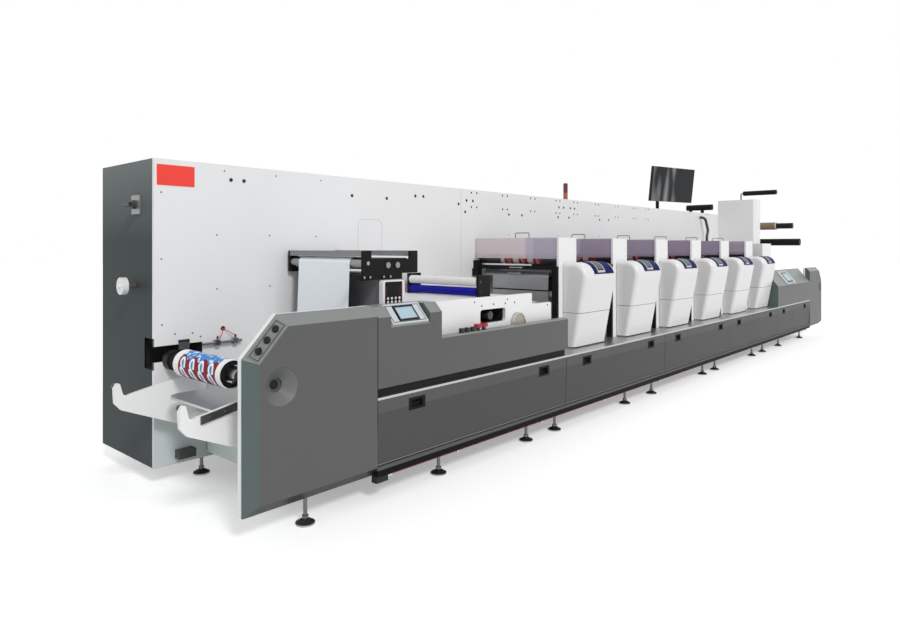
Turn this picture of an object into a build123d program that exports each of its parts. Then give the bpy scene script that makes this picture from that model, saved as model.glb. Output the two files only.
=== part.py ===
from build123d import *
from math import atan2, cos, degrees, radians, sin
import os

# Narrow-web flexographic press, millimetres, +X along the web, -Y the operator's side, +Z up.
# The origin is under the levelling foot at the unwind end, on the line of the wall cabinet.

# Wall cabinet
wall_left = -330
wall_right = 9070
cabinet_right = 10700
wall_face = -50
wall_back = 750
wall_bottom = 119
wall_top = 2016
wall_panel_thickness = 25
end_panel_thickness = 10
panel_seams = [2520, 8190]
seam_gap = 3
seat_gap = 0.3
slot_end = -20
slot_depth = 160
slot_bottom = 766
slot_top = 863
end_notch_depth = 134
end_notch_bottom = 719
end_notch_top = 909
station_hole_radius = 6
station_hole_pitch_x = 80
station_hole_pitch_z = 136
station_hole_height = wall_top - 96
station_hole_centres = [2710, 3195, 3682, 4172, 4546, 5040, 5540, 6035, 6416]
hatch_left = 1278
hatch_right = 1532
hatch_top = 1694
hatch_bottom = 1200
hatch_corner = 45
hatch_groove = 4

# Base and its doors
base_left = 10
base_right = 9898
base_front = -1210
base_back = -60
base_bottom = 150
base_top = 590
door_seams = [423, 2440, 4296, 6169, 8101, base_right]
door_gap = 6
door_thickness = 30
door_clearance = 0.3
door_bottom = 213
door_band_bottom = 515
door_lean = 12
compartment_margin = 45
compartment_depth = 420
handle_width = 92
handle_height = 46
handle_depth = 16
handle_inset = 320
handle_drop = 42
latch_width = 56
latch_height = 22
latch_depth = 8
front_face = base_front - door_clearance - door_thickness
deck_thickness = 14
skirt_height = 56
deck_top = base_top + deck_thickness

# Levelling feet
foot_radius = 52
foot_rim = 12
foot_height = 30
foot_neck = 20
foot_nut_radius = 19
foot_nut_height = 18
foot_stem_radius = 11
front_foot_xs = [-16, 1025, 2001, 2395, 3595, 4164, 5502, 5885, 7247, 7694, 8443, 9589]
front_foot_y = -1155
wall_foot_xs = [0, 1800, 3600, 5400, 7200, 9000, 10500]
middle_foot_xs = [60, 9700]
middle_foot_y = -450
back_foot_y = 650

# Unwind end
cover_depth = 70
cover_width = 822
cover_right = 420
cover_bottom = 147
cover_shoulder = 922
cover_slope_run = 196
cover_top = 1130
cover_chamfer = 58
cover_front = front_face
cover_back = cover_front + cover_depth
dish_radius = 96
dish_throat = 38
dish_depth = 56
side_plate_thickness = 32
side_plate_back = cover_back + side_plate_thickness
unwind_x = -218
unwind_z = 773
core_radius = 76
roll_radius = 81
roll_near = -770
roll_far = -230
shaft_radius = 38
shaft_clearance = 1
journal_radius = 25
bearing_radius = 62
bearing_length = 60
moving_gap = 6
adaptor_inset = 12
adaptor_length = 60
button_plate_length = 238
button_plate_width = 66
button_plate_thickness = 4
button_spacing = 70
button_radius = 17
button_height = 18
selector_width = 10
selector_height = 28
pin_radius = 7
pin_ring = 50
pin_count = 3
pin_length = 110
chuck_radius = 48
chuck_length = 95
feed_plate_left = -350
feed_plate_near = -850
feed_plate_far = -250
feed_plate_corner = 80

# Roll-lift arms
arm_near_y = -950
arm_far_y = -160
arm_thickness = 25
arm_pivot_x = -115
arm_pivot_z = 420
arm_tube_radius = 40
arm_hook = [(-486, 162), (-490, 248), (-475, 274), (-457, 272), (-440, 206), (-418, 196), (-388, 204)]
arm_beam = [(-45, 270), (75, 130), (65, -45), (-30, -60), (-448, 118)]
arm_corner = 9
bar_slope = 0.188
arm_bar_start = (-382, 166)
arm_bar_length = 330
arm_bar_height = 40
arm_bar_thickness = 12
arm_bar_holes = [50, 130, 210]
arm_bar_hole_radius = 6
bumper_radius = 17
bumper_centre = (-474, 258)

# Web section between the unwind and the first print unit
web_cover_left = 427
web_block_right = 965
web_cover_right = 2460
web_cover_bottom = 655
web_low_top = 903
web_block_top = 1122
web_slope_start = 1000
web_cover_depth = 62
web_plate_left = 1000
web_plate_right = 2382
web_plate_step = 2116
web_plate_y = -1130
web_plate_thickness = 25
web_plate_top = 1116
web_plate_step_top = 1030
web_plate_corner = 14
window_centre = (1630, 978)
window_width = 292
window_height = 98
window_corner = 22
window_pocket = 220
web_plate_holes = [(1500, 1055), (1635, 1060), (1774, 1057), (1888, 1058), (2330, 1010)]
web_plate_hole_radius = 7
window_drum_radius = 30
gauge_x = 1916
gauge_radius = 80
gauge_depth = 28
gauge_rim = 9
gauge_glass_depth = 5
knob_line_y = -1210
plain_knob_xs = [1192, 1249, 1308]
plain_knob_radius = 19
plain_knob_height = 30
mushroom_xs = [1362, 1423]
mushroom_radius = 29
mushroom_stem = 14
mushroom_height = 44
nip_x = 1770
nip_white_z = 1205
nip_blue_z = 1128
nip_radius = 33
nip_near = -880
nip_far = -150
web_slope_run = 110
web_block_back = -1050
web_edge = 10
toe_inset = 30
hmi_x = 692
hmi_pocket = 330
hmi_width = 300
hmi_height = 148
hmi_thickness = 14
hmi_groove_inset = 12
hmi_groove = 3
bezel_width = 165
bezel_height = 108
bezel_thickness = 4
screen_glass_width = 130
screen_glass_height = 76
screen_glass_depth = 2
rewind_hmi_x = 8850
rewind_panel_scale = 1.6
table_left = 970
table_top = 1090
splice_left = 617
pedestal_left = 770
splice_right = 1104
splice_near = -885
splice_far = -90
splice_bottom = 1298
splice_top = 1448
splice_plate_thickness = 20
splice_ear_width = 70
splice_recess = 54
splice_corner = 8
splice_beam_width = 60
splice_beam_height = 37
splice_slab_drop = 12
splice_slab_thickness = 14
splice_slab_gap = 26
splice_screw_xs = [828, 913]
splice_screw_radius = 20
splice_screw_height = 6
splice_bar_left = 530
splice_bar_right = 958
splice_bar_height = 38
splice_stud_radius = 8
splice_stud_length = 14
splice_stud_xs = [617, 665, 782, 841]
pedestal_near = splice_near
guide_x = 660
guide_z = 1368
guide_radius = 39
web_near = -748
web_far = -195
web_sheet = 1
web_run_out = 30
web_end = deck_top + 20
controller_left = 752
controller_right = 948
controller_bottom = 1084
controller_top = 1256
controller_depth = 34
controller_corner = 18
controller_rim = 20
controller_face_depth = 4
controller_button_radius = 9
controller_button_pitch_x = 34
controller_button_pitch_z = 24
controller_button_columns = 4
controller_button_rise = 42
nip_plate_thickness = 20
nip_plate_before = 28
nip_plate_after = 115
nip_plate_top = 1255
nip_journal = 12

# Print units
unit_count = 6
unit_pitch = 962
unit_left = 2715
pillar_width = 288
pillar_thickness = 20
pillar_y = -970
pillar_top = 1555
guard_bottom = 1370
guard_thickness = 8
guard_clearance = 6
console_offset = 66
console_width = 540
console_back = pillar_y - pillar_thickness - 5
console_seam = 905
guard_inset = 6
guard_handle_shift = 90
guard_handle_width = 150
guard_handle_height = 44
guard_handle_radius = 4
guard_handle_bend = 12
tie_width = 36
tie_height = 34
tie_top = guard_bottom - 64
wall_bracket_width = 40
wall_bracket_depth = 60
wall_bracket_top = guard_bottom - 22
wall_bracket_bottom = guard_bottom - 170
near_bracket_depth = 55
near_bracket_bottom = guard_bottom - 140
strut_width = 26
strut_depth = 32
hinge_radius = 20
hinge_length = 30
hinge_drop = 137
lid_top = guard_bottom - 108
lid_bottom = guard_bottom - 158
lid_lean = 50
lid_thickness = 5
tray_far = -160
tray_near = -900
tray_panel_far = -269
tray_panel_near = -880
tray_panel_top = guard_bottom - 164
tray_panel_bottom = guard_bottom - 274
tray_panel_set_back = 10
tray_sill_top = guard_bottom - 288
tray_sill_bottom = guard_bottom - 345
tray_floor = guard_bottom - 370
tray_width = 600
tray_thickness = 6
tray_handle_radius = 5
tray_handle_width = 130
tray_handle_reach = 46
tray_handle_bend = 14
tie_handle_near = -622
lid_handle_near = -583
roller_journal = 18
roller_end = 30
unit_cylinders = [(90, 8, 44), (190, 120, 50), (350, 200, 110), (545, 200, 60)]
console_top = 1338
console_toe = -1103
console_brow = -1243
console_nose_radius = 125
console_fillet = 38
console_foot = 12
console_foot_inset = 25
console_seam_height = 4
console_seam_depth = 4
screen_inset = 148
screen_width = 335
screen_thickness = 5
screen_bottom = console_top - 98
screen_back = -1098
display_inset = 52
display_width = 130
display_thickness = 4
display_drop = 16
display_margin = 14

# Rewind end
tower_right = 9330
tower_front = -650
tower_bottom = table_top
tower_top = 2244
rewind_x = 9870
rewind_z = 1830
rewind_inner = base_right
rewind_axis_x = 10540
rewind_block_left = 8150
rewind_slope_start = 903
rewind_slope_run = 180
housing_left = 8203
housing_right = 8614
housing_near = -1008
housing_top = 1525
rewind_near = -990
rewind_core_near = -740
rewind_core_far = -150
rewind_core_radius = 62
rewind_shaft_radius = 47
bar_z = 1556
bar_radius = 57
bar_near = -1100
tower_chamfer = 40
top_roller_x = 9290
top_roller_z = 2360
top_roller_radius = 38
top_roller_near = -900
top_roller_far = -390
top_arm_radius = 9
top_arm_bend = 20
lying_roller_x = 8570
lying_roller_radius = 46
lying_roller_near = -140
lying_roller_far = 270
lying_roller_lift = 52
lying_block = 40

# Signal tower, monitor, fittings on the end panel and the rescue cord
signal_x = 4650
signal_y = 150
signal_radius = 27
signal_neck = 23
signal_segments = 4
signal_segment_height = 48
signal_joint = 6
monitor_centre_z = 2388
monitor_angle = -15.5
monitor_lean = 7
monitor_width = 900
monitor_height = 500
monitor_thickness = 50
monitor_pole_x = 7130
monitor_pole_y = 130
monitor_pole_radius = 24
monitor_flange_radius = 90
monitor_pole_offset = 195
monitor_reach = 105
monitor_arm_width = 90
monitor_collar_radius = 38
monitor_collar_height = 110
monitor_rim = 12
monitor_recess = 3
monitor_flange_thickness = 12
switch_y = 200
switch_z = 1740
switch_plate = 120
switch_plate_thickness = 8
switch_hub_radius = 28
switch_hub_height = 26
switch_bar_width = 24
switch_bar_length = 96
switch_bar_height = 34
knob_y = 220
knob_z = 1227
knob_radius = 54
knob_thickness = 34
knob_boss_radius = 14
knob_boss_height = 10
knob_stem_radius = 16
knob_reach = 60
valve_bar_left = -37
valve_bar_right = 245
valve_bar_z = 850
valve_bar_radius = 9
valve_bar_reach = 26
valve_block = 34
thumb_xs = [71, 199]
thumb_radius = 6
thumb_height = 42
slot_cover = (-179, -111, 830, 890)
slot_cover_thickness = 12
low_box = (-200, -91, 157, 208)
low_box_depth = 60
conduit_radius = 20
conduit_x = 8292
conduit_end_x = 8367
conduit_bow = 8418
conduit_reach = 80
conduit_top = wall_top - 75
conduit_bend = 60
cord_y = -1200
cord_z = 128
cord_radius = 2.5
eyelet_radius = 9
eyelet_width = 12
cord_switch_left = 430
cord_switch_right = 520
cord_switch_half = 22
cord_switch_bottom = 106
eyelet_xs = [1150, 2130, 3100, 4230, 5150, 6300, 7100, 8200, 9800]


def save(piece, name):
    """Label the finished piece and write it as its own file."""
    piece.part.label = name
    export_step(piece.part, f"parts/{name}.step")


def block(x, y, z, mode=Mode.ADD):
    """Add or cut a box in the open part, each argument a low and a high limit."""
    with Locations((x[0], y[0], z[0])):
        Box(x[1] - x[0], y[1] - y[0], z[1] - z[0], align=(Align.MIN,) * 3, mode=mode)


def prism(plane, outline, depth, mode=Mode.ADD, corner=0):
    """Extrude a closed outline, drawn on a plane, into the open part."""
    with BuildSketch(plane) as profile:
        with BuildLine():
            Polyline(*outline, close=True)
        make_face()
        if corner:
            fillet(profile.vertices(), corner)
    extrude(profile.sketch, depth, mode=mode)


def rod(centre, radius, y_near, y_far, mode=Mode.ADD):
    """Add or cut a cylinder along Y between two Y values."""
    with Locations((centre[0], y_far, centre[1])):
        Cylinder(radius, y_far - y_near, rotation=(90, 0, 0),
                 align=(Align.CENTER, Align.CENTER, Align.MIN), mode=mode)


def post(place, radius, height):
    """Add an upright cylinder that stands on a point."""
    with Locations(place):
        Cylinder(radius, height, align=(Align.CENTER, Align.CENTER, Align.MIN))


def bow(points, bend, radius):
    """Add a round bar that follows points with rounded corners."""
    with BuildLine() as path:
        FilletPolyline(*points, radius=bend)
    start = Plane(origin=path.line @ 0, z_dir=path.line % 0)
    with BuildSketch(start) as section:
        Circle(radius)
    sweep(section.sketch, path=path.line)


def wall_cabinet():
    with BuildPart() as cabinet:
        block((wall_left + end_panel_thickness, cabinet_right),
              (wall_face + wall_panel_thickness, wall_back), (wall_bottom, wall_top))
        block((wall_left, slot_end), (wall_face, wall_face + slot_depth),
              (end_notch_bottom, end_notch_top), mode=Mode.SUBTRACT)
    save(cabinet, "wall_cabinet")


def hatch_outline():
    """Shallow groove round the hatch with rounded corners behind the splicing table."""
    width = hatch_right - hatch_left
    height = hatch_top - hatch_bottom
    centre = ((hatch_left + hatch_right) / 2, (hatch_top + hatch_bottom) / 2)
    with BuildSketch(Plane.XZ.offset(-wall_face)) as ring:
        with Locations(centre):
            RectangleRounded(width, height, hatch_corner)
            RectangleRounded(width - 2 * hatch_groove, height - 2 * hatch_groove,
                             hatch_corner - hatch_groove, mode=Mode.SUBTRACT)
    return ring.sketch


def wall_panels():
    seams = [wall_left, *panel_seams, cabinet_right]
    front = wall_face
    back = wall_face + wall_panel_thickness
    with BuildPart() as panels:
        for left, right in zip(seams, seams[1:]):
            block((left, right - seam_gap), (front, back), (wall_bottom, wall_top))
        block((wall_left, slot_end), (front, back), (slot_bottom, slot_top), mode=Mode.SUBTRACT)
        with BuildSketch(Plane.XZ.offset(-front)) as holes:
            for x in station_hole_centres:
                with Locations((x, station_hole_height)):
                    with GridLocations(station_hole_pitch_x, station_hole_pitch_z, 2, 2):
                        Circle(station_hole_radius)
        extrude(holes.sketch, -wall_panel_thickness, mode=Mode.SUBTRACT)
        extrude(hatch_outline(), -hatch_groove, mode=Mode.SUBTRACT)
    save(panels, "wall_panels")


def end_panel():
    with BuildPart() as panel:
        block((wall_left, wall_left + end_panel_thickness),
              (wall_face + wall_panel_thickness, wall_back), (wall_bottom, wall_top))
        block((wall_left, slot_end), (wall_face, wall_face + end_notch_depth),
              (end_notch_bottom, end_notch_top), mode=Mode.SUBTRACT)
    save(panel, "cabinet_end_panel")


def end_fittings():
    """Switch plate and hand wheel on the end panel, and the turning handle of the switch."""
    with BuildPart() as fittings:
        with Locations(Plane(origin=(wall_left, switch_y, switch_z), z_dir=(-1, 0, 0))):
            Box(switch_plate, switch_plate, switch_plate_thickness,
                align=(Align.CENTER, Align.CENTER, Align.MIN))
        with Locations(Plane(origin=(wall_left, knob_y, knob_z), z_dir=(-1, 0, 0))):
            Cylinder(knob_stem_radius, knob_reach, align=(Align.CENTER, Align.CENTER, Align.MIN))
            with Locations((0, 0, knob_reach)):
                Cylinder(knob_radius, knob_thickness, align=(Align.CENTER, Align.CENTER, Align.MIN))
                Cylinder(knob_boss_radius, knob_thickness + knob_boss_height,
                         align=(Align.CENTER, Align.CENTER, Align.MIN))
    save(fittings, "end_panel_fittings")
    face = wall_left - switch_plate_thickness - seat_gap
    with BuildPart() as handle:
        with Locations(Plane(origin=(face, switch_y, switch_z), z_dir=(-1, 0, 0))):
            Cylinder(switch_hub_radius, switch_hub_height, align=(Align.CENTER, Align.CENTER, Align.MIN))
            with Locations((0, 0, switch_hub_height)):
                Box(switch_bar_width, switch_bar_length, switch_bar_height,
                    align=(Align.CENTER, Align.CENTER, Align.MIN))
    save(handle, "main_switch")


def wall_fittings():
    """Air valve bar, covers and the bent conduit that are fixed to the wall."""
    bar_y = wall_face - valve_bar_reach
    left, right, bottom, top = slot_cover
    box_left, box_right, box_bottom, box_top = low_box
    with BuildPart() as fittings:
        with Locations(Plane(origin=(valve_bar_left, bar_y, valve_bar_z), z_dir=(1, 0, 0))):
            Cylinder(valve_bar_radius, valve_bar_right - valve_bar_left,
                     align=(Align.CENTER, Align.CENTER, Align.MIN))
        for x in thumb_xs:
            block((x - valve_block / 2, x + valve_block / 2), (bar_y - valve_bar_radius, wall_face),
                  (valve_bar_z - valve_block / 2, valve_bar_z + valve_block / 2))
            post((x, bar_y, valve_bar_z), thumb_radius, thumb_height)
        block((left, right), (wall_face - slot_cover_thickness, wall_face), (bottom, top))
        block((box_left, box_right), (wall_face - low_box_depth, wall_face), (box_bottom, box_top))
        run = wall_face - conduit_reach
        middle = (conduit_top + housing_top) / 2
        bow([(conduit_x, wall_face, conduit_top), (conduit_x, run, conduit_top), (conduit_bow, run, middle),
             (conduit_end_x, run, housing_top + 2 * conduit_bend), (conduit_end_x, run, housing_top)],
            conduit_bend, conduit_radius)
    save(fittings, "wall_fittings")


def machine_base():
    with BuildPart() as base:
        block((base_left, base_right), (side_plate_back, base_back), (base_bottom, base_top))
        block((door_seams[0], base_right), (base_front, base_back), (base_bottom, base_top))
        for left, right in zip(door_seams, door_seams[1:]):
            block((left + compartment_margin, right - compartment_margin),
                  (base_front, base_front + compartment_depth),
                  (door_bottom + compartment_margin, base_top - compartment_margin),
                  mode=Mode.SUBTRACT)
        block((door_seams[0], base_right), (front_face, base_front),
              (base_bottom, base_bottom + skirt_height))
    save(base, "machine_base")


def base_deck():
    """Deck plate along the base, and the round-cornered plate under the unwound roll."""
    middle = ((feed_plate_left + door_seams[0]) / 2, (feed_plate_near + feed_plate_far) / 2)
    with BuildPart() as deck:
        block((door_seams[0], base_right), (front_face, base_back), (base_top, deck_top))
        with BuildSketch(Plane.XY.offset(base_top)) as plate:
            with Locations(middle):
                Rectangle(door_seams[0] - feed_plate_left, feed_plate_far - feed_plate_near)
            fillet(plate.vertices().group_by(Axis.X)[0], feed_plate_corner)
        extrude(plate.sketch, deck_thickness)
    save(deck, "base_deck")


def base_doors():
    for number, (left, right) in enumerate(zip(door_seams, door_seams[1:]), start=1):
        back = base_front - door_clearance
        top = base_top - door_clearance
        outline = [(back, door_bottom), (back, top), (front_face, top),
                   (front_face, door_band_bottom), (front_face + door_lean, door_bottom)]
        pocket_top = top - handle_drop
        pocket_back = front_face + handle_depth
        with BuildPart() as door:
            prism(Plane.YZ.offset(left + door_gap / 2), outline, right - left - door_gap)
            for x in (left + handle_inset, right - handle_inset):
                block((x - handle_width / 2, x + handle_width / 2), (front_face, pocket_back),
                      (pocket_top - handle_height, pocket_top), mode=Mode.SUBTRACT)
                block((x - latch_width / 2, x + latch_width / 2), (pocket_back, pocket_back + latch_depth),
                      (pocket_top - latch_height, pocket_top), mode=Mode.SUBTRACT)
        save(door, f"base_door_{number}")


def levelling_feet():
    """Adjustable feet: a domed foot, a lock nut and a threaded stem up into the body."""
    spots = [(x, front_foot_y, base_bottom) for x in front_foot_xs[1:]]
    spots.append((front_foot_xs[0], front_foot_y, cover_bottom))
    spots += [(x, y, wall_bottom) for x in wall_foot_xs for y in (0, back_foot_y)]
    spots += [(x, middle_foot_y, base_bottom) for x in middle_foot_xs]
    with BuildPart() as foot:
        Cylinder(foot_radius, foot_rim, align=(Align.CENTER, Align.CENTER, Align.MIN))
        with Locations((0, 0, foot_rim)):
            Cone(foot_radius, foot_neck, foot_height - foot_rim,
                 align=(Align.CENTER, Align.CENTER, Align.MIN))
        with BuildSketch(Plane.XY.offset(foot_height)) as nut:
            RegularPolygon(foot_nut_radius, 6)
        extrude(nut.sketch, foot_nut_height)
    with BuildPart() as feet:
        for x, y, top in spots:
            with Locations((x, y, 0)):
                add(foot.part)
            post((x, y, 0), foot_stem_radius, top)
    save(feet, "levelling_feet")


def cover_outline(inner, direction):
    """Outline of an end cover in X and Z, from its inner edge outwards."""
    outer = inner - direction * cover_width
    corner = outer + direction * cover_slope_run
    return [(inner, cover_bottom), (inner, cover_top), (corner, cover_top),
            (outer, cover_shoulder), (outer, cover_bottom)]


def end_cover(name, inner, direction, axis_x):
    """Dark sheet-metal end cover with chamfered edges and a conical dish at the roll's axis."""
    outline = cover_outline(inner, direction)
    with BuildPart() as cover:
        prism(Plane.XZ.offset(-cover_back), outline, cover_depth)
        front_edges = cover.faces().sort_by(Axis.Y)[0].edges()
        inner_edge = front_edges.sort_by(Axis.X)[-1 if direction > 0 else 0]
        chamfer([edge for edge in front_edges if edge != inner_edge], cover_chamfer)
        with Locations(Plane(origin=(axis_x, cover_front, unwind_z), z_dir=(0, 1, 0))):
            Cone(dish_radius, dish_throat, dish_depth,
                 align=(Align.CENTER, Align.CENTER, Align.MIN), mode=Mode.SUBTRACT)
            Cylinder(dish_throat, cover_depth,
                     align=(Align.CENTER, Align.CENTER, Align.MIN), mode=Mode.SUBTRACT)
    save(cover, name)


def side_plates():
    """White frame plates right behind the two end covers."""
    front = cover_back
    back = front + side_plate_thickness
    with BuildPart() as plates:
        for inner, direction, axis_x in ((cover_right, 1, unwind_x), (rewind_inner, -1, rewind_axis_x)):
            prism(Plane.XZ.offset(-back), cover_outline(inner, direction), side_plate_thickness)
            rod((axis_x, unwind_z), journal_radius + shaft_clearance, front, back, mode=Mode.SUBTRACT)
    save(plates, "end_side_plates")


def cover_buttons():
    """Two push buttons and a selector on a plate on the sloping corner of the unwind cover."""
    outer = cover_right - cover_width
    run = cover_slope_run
    rise = cover_top - cover_shoulder
    length = (run ** 2 + rise ** 2) ** 0.5
    outward = Vector(-rise / length, 0, run / length)
    middle = Vector(outer + run / 2, cover_front + cover_chamfer / 2, cover_shoulder + rise / 2)
    face_centre = middle - outward * (cover_chamfer / 2)
    face_plane = Plane(origin=face_centre, x_dir=(run / length, 0, rise / length),
                       z_dir=outward + Vector(0, -1, 0))
    with BuildPart(face_plane.offset(seat_gap)) as buttons:
        Box(button_plate_length, button_plate_width, button_plate_thickness,
            align=(Align.CENTER, Align.CENTER, Align.MIN))
        with GridLocations(button_spacing, 0, 3, 1):
            Cylinder(button_radius, button_height, align=(Align.CENTER, Align.CENTER, Align.MIN))
        with Locations((-button_spacing, 0, 0)):
            Box(2 * button_radius, selector_width, selector_height,
                align=(Align.CENTER, Align.CENTER, Align.MIN))
    save(buttons, "unwind_buttons")


def unwind_bearing():
    """Far bearing of the unwind shaft: a flange on the wall and a stepped chuck."""
    far = wall_face
    bore = journal_radius + shaft_clearance
    with BuildPart() as bearing:
        rod((unwind_x, unwind_z), bearing_radius, far - bearing_length, far)
        rod((unwind_x, unwind_z), chuck_radius, far - chuck_length, far)
        rod((unwind_x, unwind_z), bore, far - chuck_length, far, mode=Mode.SUBTRACT)
    save(bearing, "unwind_bearing")


def unwind_shaft():
    """Expanding shaft with a core adaptor at each end of the roll and pins at its near end."""
    far = wall_face - chuck_length - moving_gap
    near = roll_near + adaptor_inset
    with BuildPart() as shaft:
        rod((unwind_x, unwind_z), shaft_radius, side_plate_back + moving_gap, far)
        rod((unwind_x, unwind_z), journal_radius, cover_back + seat_gap, wall_face - seat_gap)
        for y in (near, roll_far - adaptor_inset - adaptor_length):
            rod((unwind_x, unwind_z), core_radius - seat_gap, y, y + adaptor_length)
        for turn in range(pin_count):
            angle = radians(90 + 360 / pin_count * turn)
            centre = (unwind_x + pin_ring * cos(angle), unwind_z + pin_ring * sin(angle))
            rod(centre, pin_radius, near - pin_length, near)
    save(shaft, "unwind_shaft")


def unwind_roll():
    with BuildPart() as roll:
        rod((unwind_x, unwind_z), roll_radius, roll_near, roll_far)
        rod((unwind_x, unwind_z), core_radius, roll_near, roll_far, mode=Mode.SUBTRACT)
    save(roll, "unwind_roll")


def from_pivot(points):
    """Points given from the pivot of the lift arms, in X and Z."""
    return [(arm_pivot_x + x, arm_pivot_z + z) for x, z in points]


def roll_lift_arms():
    """Two hooked arms on one torque tube, which lift a new roll by its shaft."""
    outline = from_pivot(arm_hook + arm_beam)
    with BuildPart() as arms:
        for y in (arm_near_y, arm_far_y):
            prism(Plane.XZ.offset(-y - arm_thickness), outline, arm_thickness, corner=arm_corner)
        rod((arm_pivot_x, arm_pivot_z), arm_tube_radius,
            side_plate_back + seat_gap, wall_face - seat_gap)
    save(arms, "roll_lift_arms")


def arm_bars():
    """Drilled bar along the near arm and a bumper on the tip of each hook."""
    start_x, start_z = arm_bar_start
    rise = bar_slope * arm_bar_length
    outline = from_pivot([(start_x, start_z), (start_x, start_z + arm_bar_height),
                          (start_x + arm_bar_length, start_z + rise + arm_bar_height),
                          (start_x + arm_bar_length, start_z + rise)])
    near = arm_near_y - arm_bar_thickness
    bumper = from_pivot([bumper_centre])[0]
    with BuildPart() as bars:
        prism(Plane.XZ.offset(-arm_near_y), outline, arm_bar_thickness)
        for along in arm_bar_holes:
            hole = (start_x + along, start_z + bar_slope * along + arm_bar_height / 2)
            rod(from_pivot([hole])[0], arm_bar_hole_radius, near, arm_near_y, mode=Mode.SUBTRACT)
        for y in (arm_near_y, arm_far_y):
            rod(bumper, bumper_radius, y + arm_thickness, y + arm_thickness + arm_bar_thickness)
    save(bars, "arm_bars")


def slope_plane(x, start, run, rise, along):
    """Plane on a sloped panel front, centred at a distance up the slope."""
    angle = atan2(rise, run)
    centre = (x, front_face + along * cos(angle), start + along * sin(angle))
    return Plane(origin=centre, x_dir=(1, 0, 0), z_dir=(0, -sin(angle), cos(angle)))


def web_cover():
    """Low grey cover with a tall block at its left end and a sloped pocket for the screen."""
    back = front_face + web_cover_depth
    with BuildPart() as cover:
        outline = [(front_face, web_cover_bottom), (front_face, web_block_top - cover_chamfer),
                   (front_face + cover_chamfer, web_block_top), (web_block_back, web_block_top),
                   (web_block_back, web_cover_bottom)]
        prism(Plane.YZ.offset(web_cover_left), outline, web_block_right - web_cover_left)
        pocket = [(front_face, web_slope_start), (front_face + web_slope_run, web_block_top),
                  (front_face, web_block_top)]
        prism(Plane.YZ.offset(hmi_x - hmi_pocket / 2), pocket, hmi_pocket, mode=Mode.SUBTRACT)
        low = [(front_face, web_cover_bottom), (front_face, web_low_top - web_edge),
               (front_face + web_edge, web_low_top), (back, web_low_top), (back, web_cover_bottom)]
        prism(Plane.YZ.offset(web_block_right), low, web_cover_right - web_block_right)
        block((web_cover_left, web_cover_right), (front_face + toe_inset, back), (deck_top, web_cover_bottom))
    save(cover, "web_cover")


def operator_panel(slope, scale):
    """Add one panel on a slope: a grooved frame, a raised bezel and a sunken screen."""
    width = hmi_width * scale
    height = hmi_height * scale
    groove_width = width - 2 * hmi_groove_inset
    groove_height = height - 2 * hmi_groove_inset
    base = (Align.CENTER, Align.CENTER, Align.MIN)
    with Locations(slope):
        Box(width, height, hmi_thickness, align=base)
        with Locations((0, 0, hmi_thickness)):
            Box(groove_width, groove_height, 2 * hmi_groove, mode=Mode.SUBTRACT)
        with Locations((0, 0, hmi_thickness - hmi_groove)):
            Box(groove_width - 2 * hmi_groove, groove_height - 2 * hmi_groove, hmi_groove, align=base)
            Box(bezel_width * scale, bezel_height * scale, hmi_groove + bezel_thickness, align=base)
        with Locations((0, 0, hmi_thickness + bezel_thickness)):
            Box(screen_glass_width * scale, screen_glass_height * scale, 2 * screen_glass_depth,
                mode=Mode.SUBTRACT)


def hmi_panels():
    """Framed operator screens on the slopes of the web section and the rewind."""
    web_slope = slope_plane(hmi_x, web_slope_start, web_slope_run, web_block_top - web_slope_start,
                            hmi_height / 2 + web_edge)
    rewind_slope = slope_plane(rewind_hmi_x, rewind_slope_start, rewind_slope_run,
                               web_block_top - rewind_slope_start,
                               hmi_height * rewind_panel_scale / 2 + web_edge)
    with BuildPart() as panels:
        operator_panel(web_slope.offset(seat_gap), 1)
        operator_panel(rewind_slope.offset(seat_gap), rewind_panel_scale)
    save(panels, "hmi_panels")


def web_side_plate():
    """White plate with a rounded window, stepped down at its right end."""
    outline = [(web_plate_left, deck_top), (web_plate_left, web_plate_top),
               (web_plate_step, web_plate_top), (web_plate_step, web_plate_step_top),
               (web_plate_right, web_plate_step_top), (web_plate_right, deck_top)]
    front = web_plate_y
    with BuildPart() as plate:
        prism(Plane.XZ.offset(-front - web_plate_thickness), outline, web_plate_thickness,
              corner=web_plate_corner)
        with BuildSketch(Plane.XZ.offset(-front)) as cuts:
            with Locations(window_centre):
                RectangleRounded(window_width, window_height, window_corner)
            with Locations(*web_plate_holes):
                Circle(web_plate_hole_radius)
        extrude(cuts.sketch, -web_plate_thickness, mode=Mode.SUBTRACT)
    save(plate, "web_side_plate")


def web_table():
    """Table between the side plate and the wall, hollow behind the plate's window."""
    front = web_plate_y + web_plate_thickness
    x, z = window_centre
    with BuildPart() as table:
        block((table_left, web_plate_step), (front, wall_face), (deck_top, table_top))
        block((x - window_width / 2, x + window_width / 2), (front, front + window_pocket),
              (z - window_height / 2, z + window_height / 2), mode=Mode.SUBTRACT)
    save(table, "web_table")


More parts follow.
